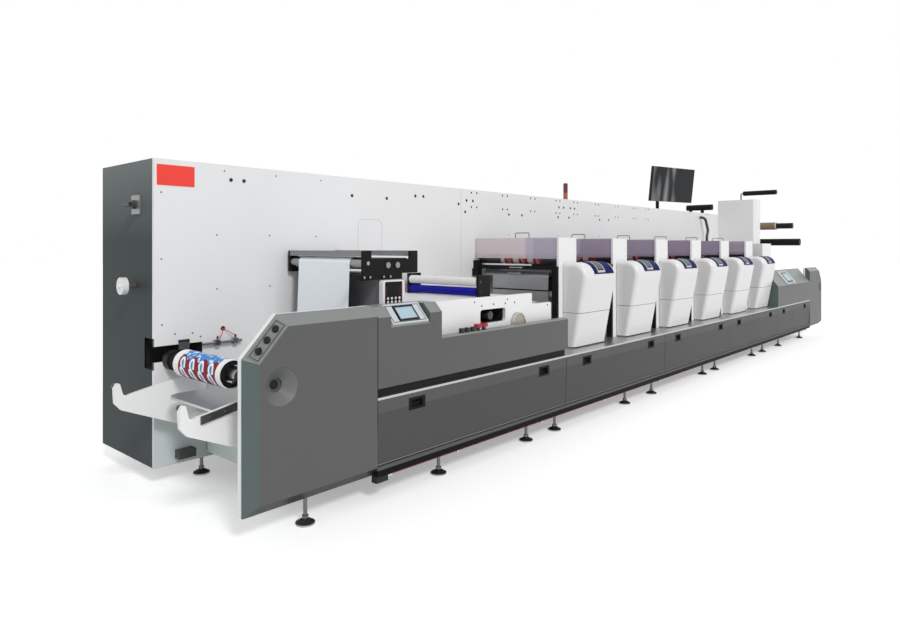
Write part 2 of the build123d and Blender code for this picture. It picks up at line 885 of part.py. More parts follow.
def web_fittings():
    """Gauge, knobs and mushroom buttons of the web section, and the drum behind the window."""
    x, z = window_centre
    pocket_back = web_plate_y + web_plate_thickness + window_pocket
    with BuildPart() as fittings:
        rod((gauge_x, web_low_top), gauge_radius, web_plate_y - gauge_depth, web_plate_y)
        rod((gauge_x, web_low_top), gauge_radius - gauge_rim, web_plate_y - gauge_depth,
            web_plate_y - gauge_depth + gauge_glass_depth, mode=Mode.SUBTRACT)
        rod((x, z), window_drum_radius, pocket_back - window_pocket, pocket_back)
        for knob_x in plain_knob_xs:
            post((knob_x, knob_line_y, web_low_top), plain_knob_radius, plain_knob_height)
        for knob_x in mushroom_xs:
            post((knob_x, knob_line_y, web_low_top), mushroom_stem, mushroom_height)
            post((knob_x, knob_line_y, web_low_top + mushroom_height / 2), mushroom_radius,
                 mushroom_height / 2)
    save(fittings, "web_fittings")


def splice_plate_outline():
    """End plate of the splicing table with an ear at each end of its recessed top edge."""
    recess = splice_top - splice_recess
    return [(splice_left, splice_bottom), (splice_left, splice_top),
            (splice_left + splice_ear_width, splice_top), (splice_left + splice_ear_width, recess),
            (splice_right - splice_ear_width, recess), (splice_right - splice_ear_width, splice_top),
            (splice_right, splice_top), (splice_right, splice_bottom)]


def splice_table():
    """Splicing table: steel beams and a slab between two black end plates with ears."""
    near_back = splice_near + splice_plate_thickness
    with BuildPart() as table:
        for y in (splice_near, splice_far):
            back = y + splice_plate_thickness
            prism(Plane.XZ.offset(-back), splice_plate_outline(), splice_plate_thickness,
                  corner=splice_corner)
            rod((guide_x, guide_z), splice_plate_thickness * 2, y, back)
            rod((guide_x, guide_z), journal_radius / 2 + shaft_clearance, y, back, mode=Mode.SUBTRACT)
        for x in (splice_left, splice_right - splice_beam_width):
            block((x, x + splice_beam_width), (near_back, splice_far),
                  (splice_top - splice_beam_height, splice_top))
        slab_top = splice_top - splice_slab_drop - splice_beam_height
        block((splice_left + splice_beam_width + splice_slab_gap,
               splice_right - splice_beam_width - splice_slab_gap),
              (near_back, splice_far), (slab_top - splice_slab_thickness, slab_top))
        for x in splice_screw_xs:
            rod((x, (splice_bottom + splice_top) / 2 - splice_screw_radius), splice_screw_radius,
                splice_near - splice_screw_height, splice_near)
        block((splice_bar_left, splice_bar_right), (splice_near, near_back),
              (splice_bottom - splice_bar_height, splice_bottom))
        for x in splice_stud_xs:
            rod((x, splice_bottom - splice_bar_height / 2), splice_stud_radius,
                splice_near - splice_stud_length, splice_near)
    save(table, "splice_table")


def splice_guide_roller():
    with BuildPart() as roller:
        rod((guide_x, guide_z), guide_radius, splice_near + splice_plate_thickness + 2 * shaft_clearance,
            splice_far - 2 * shaft_clearance)
        rod((guide_x, guide_z), journal_radius / 2, splice_near, splice_far + splice_plate_thickness)
    save(roller, "splice_guide_roller")


def splice_pedestal():
    """Dark box under the splicing table, with a notch that clears its lower bar."""
    front = splice_near + splice_plate_thickness
    with BuildPart() as pedestal:
        block((pedestal_left, table_left), (front, wall_face), (deck_top, splice_bottom))
        block((pedestal_left, table_left), (pedestal_near, front),
              (deck_top, splice_bottom - splice_bar_height))
    save(pedestal, "splice_pedestal")


def tension_controller():
    """Controller with a rounded rim, a recessed face and two rows of round buttons."""
    width = controller_right - controller_left
    height = controller_top - controller_bottom
    middle = ((controller_left + controller_right) / 2, (controller_bottom + controller_top) / 2)
    front = pedestal_near - controller_depth
    with BuildPart() as controller:
        with BuildSketch(Plane.XZ.offset(-pedestal_near)) as rim:
            with Locations(middle):
                RectangleRounded(width, height, controller_corner)
        extrude(rim.sketch, controller_depth)
        with BuildSketch(Plane.XZ.offset(-front)) as face:
            with Locations(middle):
                RectangleRounded(width - 2 * controller_rim, height - controller_rim,
                                 controller_corner / 2)
        extrude(face.sketch, -controller_face_depth, mode=Mode.SUBTRACT)
        with BuildSketch(Plane.XZ.offset(-front - controller_face_depth)) as buttons:
            with Locations((middle[0], controller_bottom + controller_button_rise)):
                with GridLocations(controller_button_pitch_x, controller_button_pitch_z,
                                   controller_button_columns, 2):
                    Circle(controller_button_radius)
        extrude(buttons.sketch, controller_face_depth)
    save(controller, "tension_controller")


def paper_web():
    """White web that rises to the guide roller, turns over it and runs on above the slab."""
    inner = guide_radius + seat_gap
    outer = inner + web_sheet
    stop = splice_right - splice_beam_width
    with BuildPart() as web:
        with BuildSketch(Plane.XZ.offset(-web_near)) as sheet:
            with BuildLine():
                Line((guide_x - outer - web_run_out, web_end), (guide_x - outer, guide_z))
                CenterArc((guide_x, guide_z), outer, 90, 90)
                Line((guide_x, guide_z + outer), (stop, guide_z + outer))
                Line((stop, guide_z + outer), (stop, guide_z + inner))
                Line((stop, guide_z + inner), (guide_x, guide_z + inner))
                CenterArc((guide_x, guide_z), inner, 90, 90)
                Line((guide_x - inner, guide_z), (guide_x - inner - web_run_out, web_end))
                Line((guide_x - inner - web_run_out, web_end), (guide_x - outer - web_run_out, web_end))
            make_face()
        extrude(sheet.sketch, web_near - web_far)
    save(web, "paper_web")


def nip_frame():
    """Black end brackets of the two nip rollers."""
    with BuildPart() as frame:
        for y in (nip_near - nip_plate_thickness, nip_far):
            block((nip_x - nip_plate_before, nip_x + nip_plate_after), (y, y + nip_plate_thickness),
                  (table_top, nip_plate_top))
            for z in (nip_white_z, nip_blue_z):
                rod((nip_x, z), nip_journal + shaft_clearance, y, y + nip_plate_thickness, mode=Mode.SUBTRACT)
    save(frame, "nip_frame")


def nip_rollers():
    for name, z in (("nip_roller_white", nip_white_z), ("nip_roller_blue", nip_blue_z)):
        with BuildPart() as roller:
            rod((nip_x, z), nip_radius, nip_near + moving_gap, nip_far - moving_gap)
            rod((nip_x, z), nip_journal, nip_near - nip_plate_thickness, nip_far + nip_plate_thickness)
        save(roller, name)


def unit_lefts():
    """Left edges of the print units along the web."""
    return [unit_left + unit_pitch * index for index in range(unit_count)]


def unit_side_plates():
    with BuildPart() as plates:
        for left in unit_lefts():
            block((left, left + pillar_width), (pillar_y - pillar_thickness, pillar_y), (deck_top, pillar_top))
    save(plates, "unit_side_plates")


def unit_frames():
    """Black cross tie of each unit, its end brackets and the strut with the tray hinge."""
    with BuildPart() as frames:
        for left in unit_lefts():
            block((left, left + tie_width), (pillar_y, wall_face), (tie_top - tie_height, tie_top))
            block((left - tie_width / 2, left + wall_bracket_width), (wall_face - wall_bracket_depth, wall_face),
                  (wall_bracket_bottom, wall_bracket_top))
            block((left - tie_width, left), (wall_face - wall_bracket_depth, wall_face),
                  (wall_bracket_bottom, tie_top - tie_height))
            block((left, left + tie_width), (pillar_y, pillar_y + near_bracket_depth),
                  (near_bracket_bottom, wall_bracket_top))
            block((left - strut_width, left), (pillar_y - pillar_thickness, pillar_y + strut_depth),
                  (deck_top, tie_top))
            hinge_near = pillar_y + strut_depth
            rod((left - strut_width / 2, guard_bottom - hinge_drop), hinge_radius, hinge_near,
                hinge_near + hinge_length)
    save(frames, "unit_frames")


def unit_trays():
    """Stainless ink tray of each unit: a leaning lid with two handles, front panels and a floor."""
    with BuildPart() as trays:
        for left in unit_lefts():
            lid = [(left + tray_panel_set_back, lid_bottom), (left + lid_lean, lid_top),
                   (left + lid_lean + lid_thickness, lid_top),
                   (left + tray_panel_set_back + lid_thickness, lid_bottom)]
            prism(Plane.XZ.offset(-tray_far), lid, tray_far - tray_near)
            panel = left + tray_panel_set_back
            block((panel, panel + tray_thickness), (tray_panel_near, tray_panel_far),
                  (tray_floor, lid_bottom))
            block((panel - tray_thickness, panel), (tray_panel_near, tray_panel_far),
                  (tray_panel_bottom, tray_panel_top))
            block((panel - tray_thickness, panel), (tray_panel_near, tray_panel_far),
                  (tray_sill_bottom, tray_sill_top))
            block((panel, panel + tray_width), (tray_near, tray_far),
                  (tray_floor - tray_thickness, tray_floor))
            lid_middle = (lid_bottom + lid_top) / 2
            lid_root = left + (tray_panel_set_back + lid_lean) / 2 + lid_thickness / 2
            for root, near, z in ((left, tie_handle_near, tie_top - tie_height / 2),
                                  (lid_root, lid_handle_near, lid_middle)):
                far = near + tray_handle_width
                front = root - tray_handle_reach
                bow([(root, near, z), (front, near, z), (front, far, z), (root, far, z)],
                    tray_handle_bend, tray_handle_radius)
    save(trays, "unit_trays")


def unit_rollers():
    """Web roller and the inking, plate and impression cylinders of each unit."""
    with BuildPart() as rollers:
        for left in unit_lefts():
            for offset_x, drop, radius in unit_cylinders:
                centre = (left + offset_x, guard_bottom - drop)
                rod(centre, radius, pillar_y + roller_end, wall_face - roller_end)
                rod(centre, roller_journal, pillar_y, wall_face)
    save(rollers, "unit_rollers")


def guards():
    """Smoked panes, each with a bent lifting handle on its top edge."""
    for number, left in enumerate(unit_lefts(), start=1):
        x = left + guard_inset
        near = pillar_y + guard_clearance
        far = wall_face - guard_clearance
        grip = x + guard_thickness / 2
        start = (near + far) / 2 - guard_handle_shift - guard_handle_width / 2
        end = start + guard_handle_width
        foot = pillar_top - guard_handle_bend
        top = pillar_top + guard_handle_height
        with BuildPart() as guard:
            block((x, x + guard_thickness), (near, far), (guard_bottom, pillar_top))
            bow([(grip, start, foot), (grip, start, top), (grip, end, top), (grip, end, foot)],
                guard_handle_bend, guard_handle_radius)
        save(guard, f"guard_{number}")


def console_side(grow=0):
    """Side profile of a console in Y and Z with its rounded nose, grown all round."""
    with BuildSketch() as side:
        with BuildLine():
            Polyline((console_toe, deck_top), (console_brow, console_top), (console_back, console_top),
                     (console_back, deck_top), close=True)
        make_face()
        fillet(side.vertices().group_by(Axis.X)[0], console_nose_radius)
        if grow:
            offset(amount=grow)
    return side.sketch


def console_shell():
    """One console with rounded front corners, at the first unit."""
    with BuildPart() as shell:
        with BuildSketch(Plane.YZ.offset(unit_left + console_offset)) as side:
            add(console_side())
        extrude(side.sketch, console_width)
        flanks = shell.faces().filter_by(Axis.X)
        fillet([edge for edge in flanks.edges()
                if edge.center().Y < console_back - 1 and edge.center().Z > deck_top + 1], console_fillet)
    return shell.part


def seam_groove():
    """Slab less the core of a console, which leaves the groove between its two shells."""
    left = unit_left + console_offset
    rise = (console_seam - deck_top) / (console_top - deck_top)
    front = console_toe + rise * (console_brow - console_toe)
    with BuildPart() as groove:
        block((left - console_fillet, left + console_width + console_fillet),
              (console_brow - console_fillet, console_back), (console_seam, console_seam + console_seam_height))
        with BuildSketch(Plane.XY.offset(console_seam)) as core:
            with Locations((left + console_seam_depth, front + console_seam_depth)):
                Rectangle(console_width - 2 * console_seam_depth, console_back - front, align=Align.MIN)
            fillet(core.vertices().group_by(Axis.Y)[0], console_fillet - console_seam_depth)
        extrude(core.sketch, console_seam_height, mode=Mode.SUBTRACT)
    return groove.part


def consoles():
    """White moulded consoles in two shells, with a groove between them and a recessed foot."""
    left = unit_left + console_offset
    with BuildPart() as model:
        add(console_shell())
        add(seam_groove(), mode=Mode.SUBTRACT)
        block((left, left + console_width), (console_brow, console_back), (deck_top, deck_top + console_foot),
              mode=Mode.SUBTRACT)
        block((left + console_foot_inset, left + console_width - console_foot_inset),
              (console_toe + 2 * console_foot_inset, console_back), (deck_top, deck_top + console_foot))
    with BuildPart() as bodies:
        for index in range(unit_count):
            with Locations((unit_pitch * index, 0, 0)):
                add(model.part)
    save(bodies, "unit_consoles")


def screen_strip(start, width, grow, low, back):
    """Add a strip that lies on the nose of a console from a low edge up to a back edge."""
    above = console_top + grow
    with BuildSketch(Plane.YZ.offset(start)) as strip:
        add(console_side(grow))
        add(console_side(seat_gap), mode=Mode.SUBTRACT)
        with Locations((back, above)):
            Rectangle(back - console_brow + grow, above - low, align=Align.MAX, mode=Mode.INTERSECT)
    extrude(strip.sketch, width)


def console_screens():
    """Dark screen panels that follow the round nose of each console, with a raised display."""
    with BuildPart() as screens:
        for left in unit_lefts():
            x = left + console_offset + screen_inset
            screen_strip(x, screen_width, screen_thickness, screen_bottom, screen_back)
            screen_strip(x + display_inset, display_width, screen_thickness + display_thickness,
                         screen_bottom + display_drop, screen_back - display_margin)
    save(screens, "console_screens")


def rewind_tower():
    with BuildPart() as tower:
        block((wall_right, tower_right), (tower_front, wall_face), (tower_bottom, tower_top))
        corner = tower.edges().filter_by(Axis.Z).group_by(Axis.Y)[0]
        chamfer(corner, tower_chamfer)
    save(tower, "rewind_tower")


def overhead_rollers():
    """Roller on a bent arm above the tower, and the roller that lies on the cabinet."""
    lying_z = wall_top + lying_roller_lift + lying_roller_radius
    with BuildPart() as rollers:
        rod((top_roller_x, top_roller_z), top_roller_radius, top_roller_near, top_roller_far)
        arm_y = top_roller_far + 2 * top_arm_bend
        bow([(top_roller_x, arm_y, tower_top), (top_roller_x, arm_y, top_roller_z),
             (top_roller_x, top_roller_far, top_roller_z)], top_arm_bend, top_arm_radius)
        rod((lying_roller_x, lying_z), lying_roller_radius, lying_roller_near, lying_roller_far)
        for y in (0, lying_roller_far - 2 * lying_block):
            block((lying_roller_x - lying_block / 2, lying_roller_x + lying_block / 2),
                  (y, y + lying_block), (wall_top, lying_z))
    save(rollers, "overhead_roller")


def rewind_pieces():
    """Waste bar and the rewind shaft with its core."""
    with BuildPart() as bar:
        rod((rewind_x, bar_z), bar_radius, bar_near, wall_face)
    save(bar, "rewind_bar")
    with BuildPart() as shaft:
        rod((rewind_x, rewind_z), rewind_shaft_radius, rewind_near, wall_face - seat_gap)
    save(shaft, "rewind_shaft")
    with BuildPart() as core:
        rod((rewind_x, rewind_z), rewind_core_radius, rewind_core_near, rewind_core_far)
        rod((rewind_x, rewind_z), rewind_shaft_radius + seat_gap, rewind_core_near, rewind_core_far,
            mode=Mode.SUBTRACT)
    save(core, "rewind_core")


def rewind_section():
    """Grey cover with its long slope, and the white table with its housing behind."""
    with BuildPart() as cover:
        outline = [(front_face, deck_top), (front_face, rewind_slope_start),
                   (front_face + rewind_slope_run, web_block_top), (web_block_back, web_block_top),
                   (web_block_back, deck_top)]
        prism(Plane.YZ.offset(rewind_block_left), outline, base_right - rewind_block_left)
    save(cover, "rewind_cover_block")
    with BuildPart() as table:
        block((rewind_block_left, base_right), (web_block_back, wall_face), (deck_top, table_top))
        block((housing_left, housing_right), (housing_near, wall_face), (table_top, housing_top))
    save(table, "rewind_table")


def signal_tower():
    """Signal light with a base and round segments parted by narrow joints."""
    with BuildPart() as tower:
        post((signal_x, signal_y, wall_top), signal_neck,
             signal_segments * (signal_segment_height + signal_joint))
        for level in range(signal_segments):
            z = wall_top + level * (signal_segment_height + signal_joint)
            post((signal_x, signal_y, z), signal_radius, signal_segment_height)
    save(tower, "signal_tower")


def monitor():
    """Flat screen above the wall on a swivelling pole."""
    with BuildPart() as stand:
        post((monitor_pole_x, monitor_pole_y, wall_top), monitor_flange_radius, monitor_flange_thickness)
        post((monitor_pole_x, monitor_pole_y, wall_top), monitor_pole_radius,
             monitor_centre_z - wall_top + monitor_collar_height / 2)
    save(stand, "monitor_stand")
    with BuildPart() as screen:
        with Locations(Location((monitor_pole_x, monitor_pole_y, monitor_centre_z), (0, 0, monitor_angle))):
            with Locations(Location((monitor_pole_offset, -monitor_reach, 0), (monitor_lean, 0, 0))):
                Box(monitor_width, monitor_thickness, monitor_height)
                with Locations((0, -monitor_thickness / 2, 0)):
                    Box(monitor_width - 2 * monitor_rim, 2 * monitor_recess,
                        monitor_height - 2 * monitor_rim, mode=Mode.SUBTRACT)
            Box(monitor_arm_width, monitor_reach, monitor_collar_height,
                align=(Align.CENTER, Align.MAX, Align.CENTER))
            Cylinder(monitor_collar_radius, monitor_collar_height)
            Cylinder(monitor_pole_radius + shaft_clearance, monitor_collar_height, mode=Mode.SUBTRACT)
    save(screen, "monitor")


def rescue_cord():
    """Tight pull cord under the doors, through eyelets, from the switch at the unwind end."""
    with BuildPart() as eyelets:
        block((cord_switch_left, cord_switch_right), (cord_y - cord_switch_half, cord_y + cord_switch_half),
              (cord_switch_bottom, base_bottom))
        for x in eyelet_xs:
            with Locations(Plane(origin=(x, cord_y, cord_z), z_dir=(1, 0, 0))):
                Cylinder(eyelet_radius, eyelet_width, align=(Align.CENTER, Align.CENTER, Align.MIN))
            block((x, x + eyelet_width), (cord_y - eyelet_radius / 2, cord_y + eyelet_radius / 2),
                  (cord_z, base_bottom))
            with Locations(Plane(origin=(x, cord_y, cord_z), z_dir=(1, 0, 0))):
                Cylinder(cord_radius, eyelet_width, align=(Align.CENTER, Align.CENTER, Align.MIN),
                         mode=Mode.SUBTRACT)
    save(eyelets, "cord_brackets")
    end = eyelet_xs[-1] + eyelet_width
    with BuildPart() as cord:
        with Locations(Plane(origin=(cord_switch_right, cord_y, cord_z), z_dir=(1, 0, 0))):
            Cylinder(cord_radius, end - cord_switch_right, align=(Align.CENTER, Align.CENTER, Align.MIN))
    save(cord, "rescue_cord")


os.makedirs("parts", exist_ok=True)
wall_cabinet()
wall_panels()
end_panel()
end_fittings()
wall_fittings()
machine_base()
base_deck()
base_doors()
levelling_feet()
rescue_cord()
end_cover("unwind_cover", cover_right, 1, unwind_x)
end_cover("rewind_cover", rewind_inner, -1, rewind_axis_x)
side_plates()
cover_buttons()
unwind_bearing()
unwind_shaft()
unwind_roll()
roll_lift_arms()
arm_bars()
web_cover()
hmi_panels()
web_side_plate()
web_table()
web_fittings()
splice_table()
splice_guide_roller()
splice_pedestal()
tension_controller()
paper_web()
nip_frame()
nip_rollers()
unit_side_plates()
unit_frames()
unit_trays()
unit_rollers()
guards()
consoles()
console_screens()
rewind_tower()
overhead_rollers()
rewind_pieces()
rewind_section()
signal_tower()
monitor()
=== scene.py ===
import math
import bmesh
import bpy
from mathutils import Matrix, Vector


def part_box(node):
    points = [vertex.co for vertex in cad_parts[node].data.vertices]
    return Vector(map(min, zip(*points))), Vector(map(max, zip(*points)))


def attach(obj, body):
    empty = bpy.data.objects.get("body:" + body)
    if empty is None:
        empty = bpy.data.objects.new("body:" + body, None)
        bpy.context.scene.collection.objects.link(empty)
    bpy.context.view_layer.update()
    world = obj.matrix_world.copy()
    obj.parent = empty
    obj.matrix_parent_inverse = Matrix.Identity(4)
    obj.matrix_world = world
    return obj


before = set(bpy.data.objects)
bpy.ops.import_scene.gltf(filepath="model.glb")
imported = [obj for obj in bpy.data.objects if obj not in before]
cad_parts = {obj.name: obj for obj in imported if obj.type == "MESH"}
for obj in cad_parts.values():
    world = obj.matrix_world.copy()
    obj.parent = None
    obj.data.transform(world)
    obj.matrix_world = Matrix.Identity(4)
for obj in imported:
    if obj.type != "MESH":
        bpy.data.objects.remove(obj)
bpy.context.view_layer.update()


# Sizes shared with the part, in metres

wall_face = -0.05
wall_left = -0.33
front_face = -1.2403
unit_pitch = 0.962
unit_left = 2.715
unit_count = 6
guard_bottom = 1.37
guard_top = 1.5556
unwind_axis = (-0.218, 0.773)
rewind_dish = (10.54, 0.773)
slot_end = -0.02
slot_depth = 0.16
notch_bottom = 0.719
notch_top = 0.909
station_hole_height = 1.92
station_hole_rise = 0.068
station_hole_radius = 0.006
roll_radius = 0.081
skin = 0.001
lean_limit = 0.3


# Materials

def rgb(red, green, blue):
    """Linear colour of an sRGB colour that is given from 0 to 255."""
    parts = [value / 255 for value in (red, green, blue)]
    return tuple(part / 12.92 if part <= 0.04045 else ((part + 0.055) / 1.055) ** 2.4 for part in parts)


WHITE = rgb(233, 233, 232)
BLACK = rgb(24, 24, 25)
STEEL = rgb(176, 177, 179)
CHROME = rgb(214, 215, 217)


class Paint:
    """A node material built up in layers. Its masks are drawn in the part's own metres."""

    def __init__(self, name, colour, roughness, metallic=0.0, coat=0.0, mottle=0.03, patch=0.5, shine=0.5):
        self.material = bpy.data.materials.new(name)
        self.material.use_nodes = True
        self.nodes = self.material.node_tree.nodes
        self.links = self.material.node_tree.links
        self.shader = self.nodes["Principled BSDF"]
        self.shader.inputs["Metallic"].default_value = metallic
        self.shader.inputs["Coat Weight"].default_value = coat
        self.shader.inputs["Specular IOR Level"].default_value = shine
        self.place = self.nodes.new("ShaderNodeTexCoord").outputs["Object"]
        split = self.nodes.new("ShaderNodeSeparateXYZ")
        self.links.new(self.place, split.inputs[0])
        self.x, self.y, self.z = split.outputs
        self.lean = self.nodes.new("ShaderNodeSeparateXYZ")
        self.links.new(self.place.node.outputs["Normal"], self.lean.inputs[0])
        cloud = self.noise(1 / patch)
        self.colour = self.mix(cloud, tuple(part * (1 - mottle) for part in colour),
                               tuple(part * (1 + mottle) for part in colour))
        self.gloss = self.blend(cloud, roughness * 0.88, roughness * 1.12)
        self.metal = metallic
        self.relief = None

    def feed(self, socket, value):
        if isinstance(value, tuple):
            socket.default_value = (*value, 1)
        elif isinstance(value, (int, float)):
            socket.default_value = value
        else:
            self.links.new(value, socket)

    def math(self, operation, first, second=0.0):
        node = self.nodes.new("ShaderNodeMath")
        node.operation = operation
        self.feed(node.inputs[0], first)
        self.feed(node.inputs[1], second)
        return node.outputs[0]

    def mix(self, mask, under, over):
        """Colour that is one under the mask and the other over it."""
        node = self.nodes.new("ShaderNodeMix")
        node.data_type = "RGBA"
        self.feed(node.inputs[0], mask)
        self.feed(node.inputs[6], under)
        self.feed(node.inputs[7], over)
        return node.outputs[2]

    def blend(self, mask, under, over):
        """Number that is one under the mask and the other over it."""
        node = self.nodes.new("ShaderNodeMix")
        self.feed(node.inputs[0], mask)
        self.feed(node.inputs[2], under)
        self.feed(node.inputs[3], over)
        return node.outputs[0]

    def noise(self, scale, stretch=(1, 1, 1), detail=2.0):
        mapping = self.nodes.new("ShaderNodeMapping")
        mapping.inputs["Scale"].default_value = stretch
        self.links.new(self.place, mapping.inputs["Vector"])
        noise = self.nodes.new("ShaderNodeTexNoise")
        noise.inputs["Scale"].default_value = scale
        noise.inputs["Detail"].default_value = detail
        self.links.new(mapping.outputs[0], noise.inputs["Vector"])
        return noise.outputs[0]

    def band(self, value, low, high):
        """Mask that is 1 where a value lies between two limits."""
        return self.both(self.math("GREATER_THAN", value, low), self.math("LESS_THAN", value, high))

    def both(self, first, second):
        return self.math("MULTIPLY", first, second)

    def either(self, first, second):
        return self.math("MAXIMUM", first, second)

    def box(self, low, high):
        """Mask of the space between two corners."""
        mask = self.band(self.x, low[0], high[0])
        mask = self.both(mask, self.band(self.y, low[1], high[1]))
        return self.both(mask, self.band(self.z, low[2], high[2]))

    def within(self, centre, radius, first, second):
        """Mask of a circle in the plane of two coordinates."""
        across = self.math("SUBTRACT", first, centre[0])
        along = self.math("SUBTRACT", second, centre[1])
        square = self.math("ADD", self.math("MULTIPLY", across, across), self.math("MULTIPLY", along, along))
        return self.math("LESS_THAN", square, radius ** 2)

    def facing(self, axis, least):
        """Mask of the faces that lean along an axis, or against it where the least value is negative."""
        side = self.lean.outputs[axis]
        return self.math("LESS_THAN" if least < 0 else "GREATER_THAN", side, least)

    def layer(self, mask, colour, roughness=None, metallic=None):
        self.colour = self.mix(mask, self.colour, colour)
        if roughness is not None:
            self.gloss = self.blend(mask, self.gloss, roughness)
        if metallic is not None and metallic != self.metal:
            self.metal = self.blend(mask, self.metal, metallic)

    def grain(self, scale, depth, stretch=(1, 1, 1)):
        """Fine surface relief: orange peel on paint, or the lines of brushed metal."""
        bump = self.nodes.new("ShaderNodeBump")
        bump.inputs["Distance"].default_value = depth
        self.links.new(self.noise(scale, stretch), bump.inputs["Height"])
        self.relief = bump.outputs[0]

    def done(self):
        self.links.new(self.colour, self.shader.inputs["Base Color"])
        self.links.new(self.gloss, self.shader.inputs["Roughness"])
        if not isinstance(self.metal, float):
            self.links.new(self.metal, self.shader.inputs["Metallic"])
        if self.relief:
            self.links.new(self.relief, self.shader.inputs["Normal"])
        return self.material


def dress(material, *names):
    for name in names:
        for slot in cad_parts[name].material_slots:
            slot.material = material


def powder_coat(name, colour, roughness=0.42, coat=0.1, shine=0.5):
    paint = Paint(name, colour, roughness, coat=coat, shine=shine)
    paint.grain(420, 0.0004)
    return paint


def brushed(name, colour, roughness, stretch):
    paint = Paint(name, colour, roughness, metallic=1.0, mottle=0.06, patch=0.2)
    paint.grain(60, 0.0002, stretch)
    streaks = paint.noise(25, stretch)
    paint.colour = paint.mix(streaks, paint.colour, tuple(part * 0.8 for part in colour))
    return paint


slot_edge = 0.002
hole_edge = 0.0006
throat_radius = 0.075
web_plate_face = -1.13
web_hole_radius = 0.007
web_plate_holes = [(1.500, 1.055), (1.635, 1.060), (1.774, 1.057), (1.888, 1.058), (2.330, 1.010)]


def white_metal():
    dress(powder_coat("white_paint", WHITE).done(), "unit_side_plates", "rewind_tower", "rewind_table",
          "roll_lift_arms")

    ends = powder_coat("end_plate_paint", WHITE)
    for centre in (unwind_axis, rewind_dish):
        ends.layer(ends.within(centre, throat_radius, ends.x, ends.z), rgb(84, 84, 84))
    dress(ends.done(), "end_side_plates")

    plate = powder_coat("web_plate_paint", WHITE)
    # Painted shade: near black on the walls of the plate's holes, behind its face.
    behind = plate.math("GREATER_THAN", plate.y, web_plate_face + hole_edge)
    for centre in web_plate_holes:
        hole = plate.within(centre, web_hole_radius + hole_edge, plate.x, plate.z)
        plate.layer(plate.both(behind, hole), rgb(14, 14, 15), 0.8)
    dress(plate.done(), "web_side_plate")


station_first = 2.6
station_last = 6.5


def paint_hollow_shade(paint):
    """Painted shade: black inside the unwind slot and in the rows of station holes, behind the wall's face.
    """
    slot = paint.box((wall_left - 1, wall_face + slot_edge, notch_bottom - slot_edge),
                     (slot_end + slot_edge, wall_face + slot_depth + slot_edge, notch_top + slot_edge))
    inside = paint.both(paint.math("GREATER_THAN", paint.y, wall_face + hole_edge),
                        paint.band(paint.x, station_first, station_last))
    inside = paint.both(inside, paint.math("LESS_THAN", paint.y, wall_face + slot_depth + slot_edge))
    for row in (station_hole_height - station_hole_rise, station_hole_height + station_hole_rise):
        reach = station_hole_radius + hole_edge
        slot = paint.either(slot, paint.both(inside, paint.band(paint.z, row - reach, row + reach)))
    paint.layer(slot, rgb(16, 16, 17), 0.8)


skirt_top = 0.62


def wall_paint():
    """White wall panels, a little greener low down, and the cabinet behind them."""
    paint = powder_coat("wall_paint", rgb(229, 229, 229), roughness=0.36)
    paint.layer(paint.math("LESS_THAN", paint.z, skirt_top), rgb(194, 202, 201))
    paint_hollow_shade(paint)
    dress(paint.done(), "wall_panels")
    cabinet = powder_coat("cabinet_paint", WHITE)
    paint_hollow_shade(cabinet)
    dress(cabinet.done(), "wall_cabinet")


base_end = 0.012
dish_radius = 0.096
channel_top = 0.186
base_start = 0.424
web_toe_end = 2.6
toe_top = 0.6549


def grey_metal():
    cover = powder_coat("cover_paint", rgb(92, 92, 92), coat=0.0, shine=0.2)
    # Painted light by facing: a greener grey on faces leaning toward -X, a painted highlight on upward faces
    # and painted shade on downward faces.
    cover.layer(cover.facing(0, -lean_limit), rgb(88, 100, 97))
    cover.layer(cover.facing(2, lean_limit), rgb(130, 134, 132), 0.34)
    cover.layer(cover.facing(2, -lean_limit), rgb(40, 39, 40))
    # Painted shade: near black on the covers below toe_top, for the recess under the web cover.
    toe = cover.both(cover.band(cover.x, base_start, web_toe_end), cover.math("LESS_THAN", cover.z, toe_top))
    cover.layer(toe, rgb(24, 24, 25), 0.6)
    for centre in (unwind_axis, rewind_dish):
        dish = cover.both(cover.within(centre, dish_radius, cover.x, cover.z),
                          cover.math("GREATER_THAN", cover.y, front_face + skin))
        cover.layer(dish, rgb(112, 113, 112), 0.35)
    dress(cover.done(), "unwind_cover", "rewind_cover", "web_cover", "rewind_cover_block")
    base = powder_coat("base_paint", rgb(90, 90, 91), coat=0.0, shine=0.05)
    base.layer(base.math("LESS_THAN", base.z, channel_top), rgb(22, 22, 23), 0.5)
    base.layer(base.math("LESS_THAN", base.x, base_end), rgb(205, 218, 214))
    dress(base.done(), "machine_base")


door_band = 0.515
door_edge = 0.217
handle_middle = 0.525
handle_inset = 0.32
handle_half = (0.072, 0.038)
door_seams = [0.423, 2.440, 4.296, 6.169, 8.101, 9.898]
latch_face = front_face + 0.004


def door_paint():
    """Grey doors with black handle plates around their pockets."""
    paint = powder_coat("door_paint", rgb(92, 91, 91), coat=0.0, shine=0.05)
    paint.layer(paint.math("LESS_THAN", paint.z, door_band), rgb(82, 82, 82))
    paint.layer(paint.math("LESS_THAN", paint.z, door_edge), rgb(150, 150, 151))
    level = paint.band(paint.z, handle_middle - handle_half[1], handle_middle + handle_half[1])
    for left, right in zip(door_seams, door_seams[1:]):
        for x in (left + handle_inset, right - handle_inset):
            plate = paint.both(level, paint.band(paint.x, x - handle_half[0], x + handle_half[0]))
            paint.layer(plate, rgb(30, 30, 31), 0.4)
            inside = paint.both(plate, paint.math("GREATER_THAN", paint.y, latch_face))
            paint.layer(inside, BLACK, 0.5)
    dress(paint.done(), *[f"base_door_{number}" for number in range(1, 6)])


fade_bottom = 1.5
fade_height = 0.5


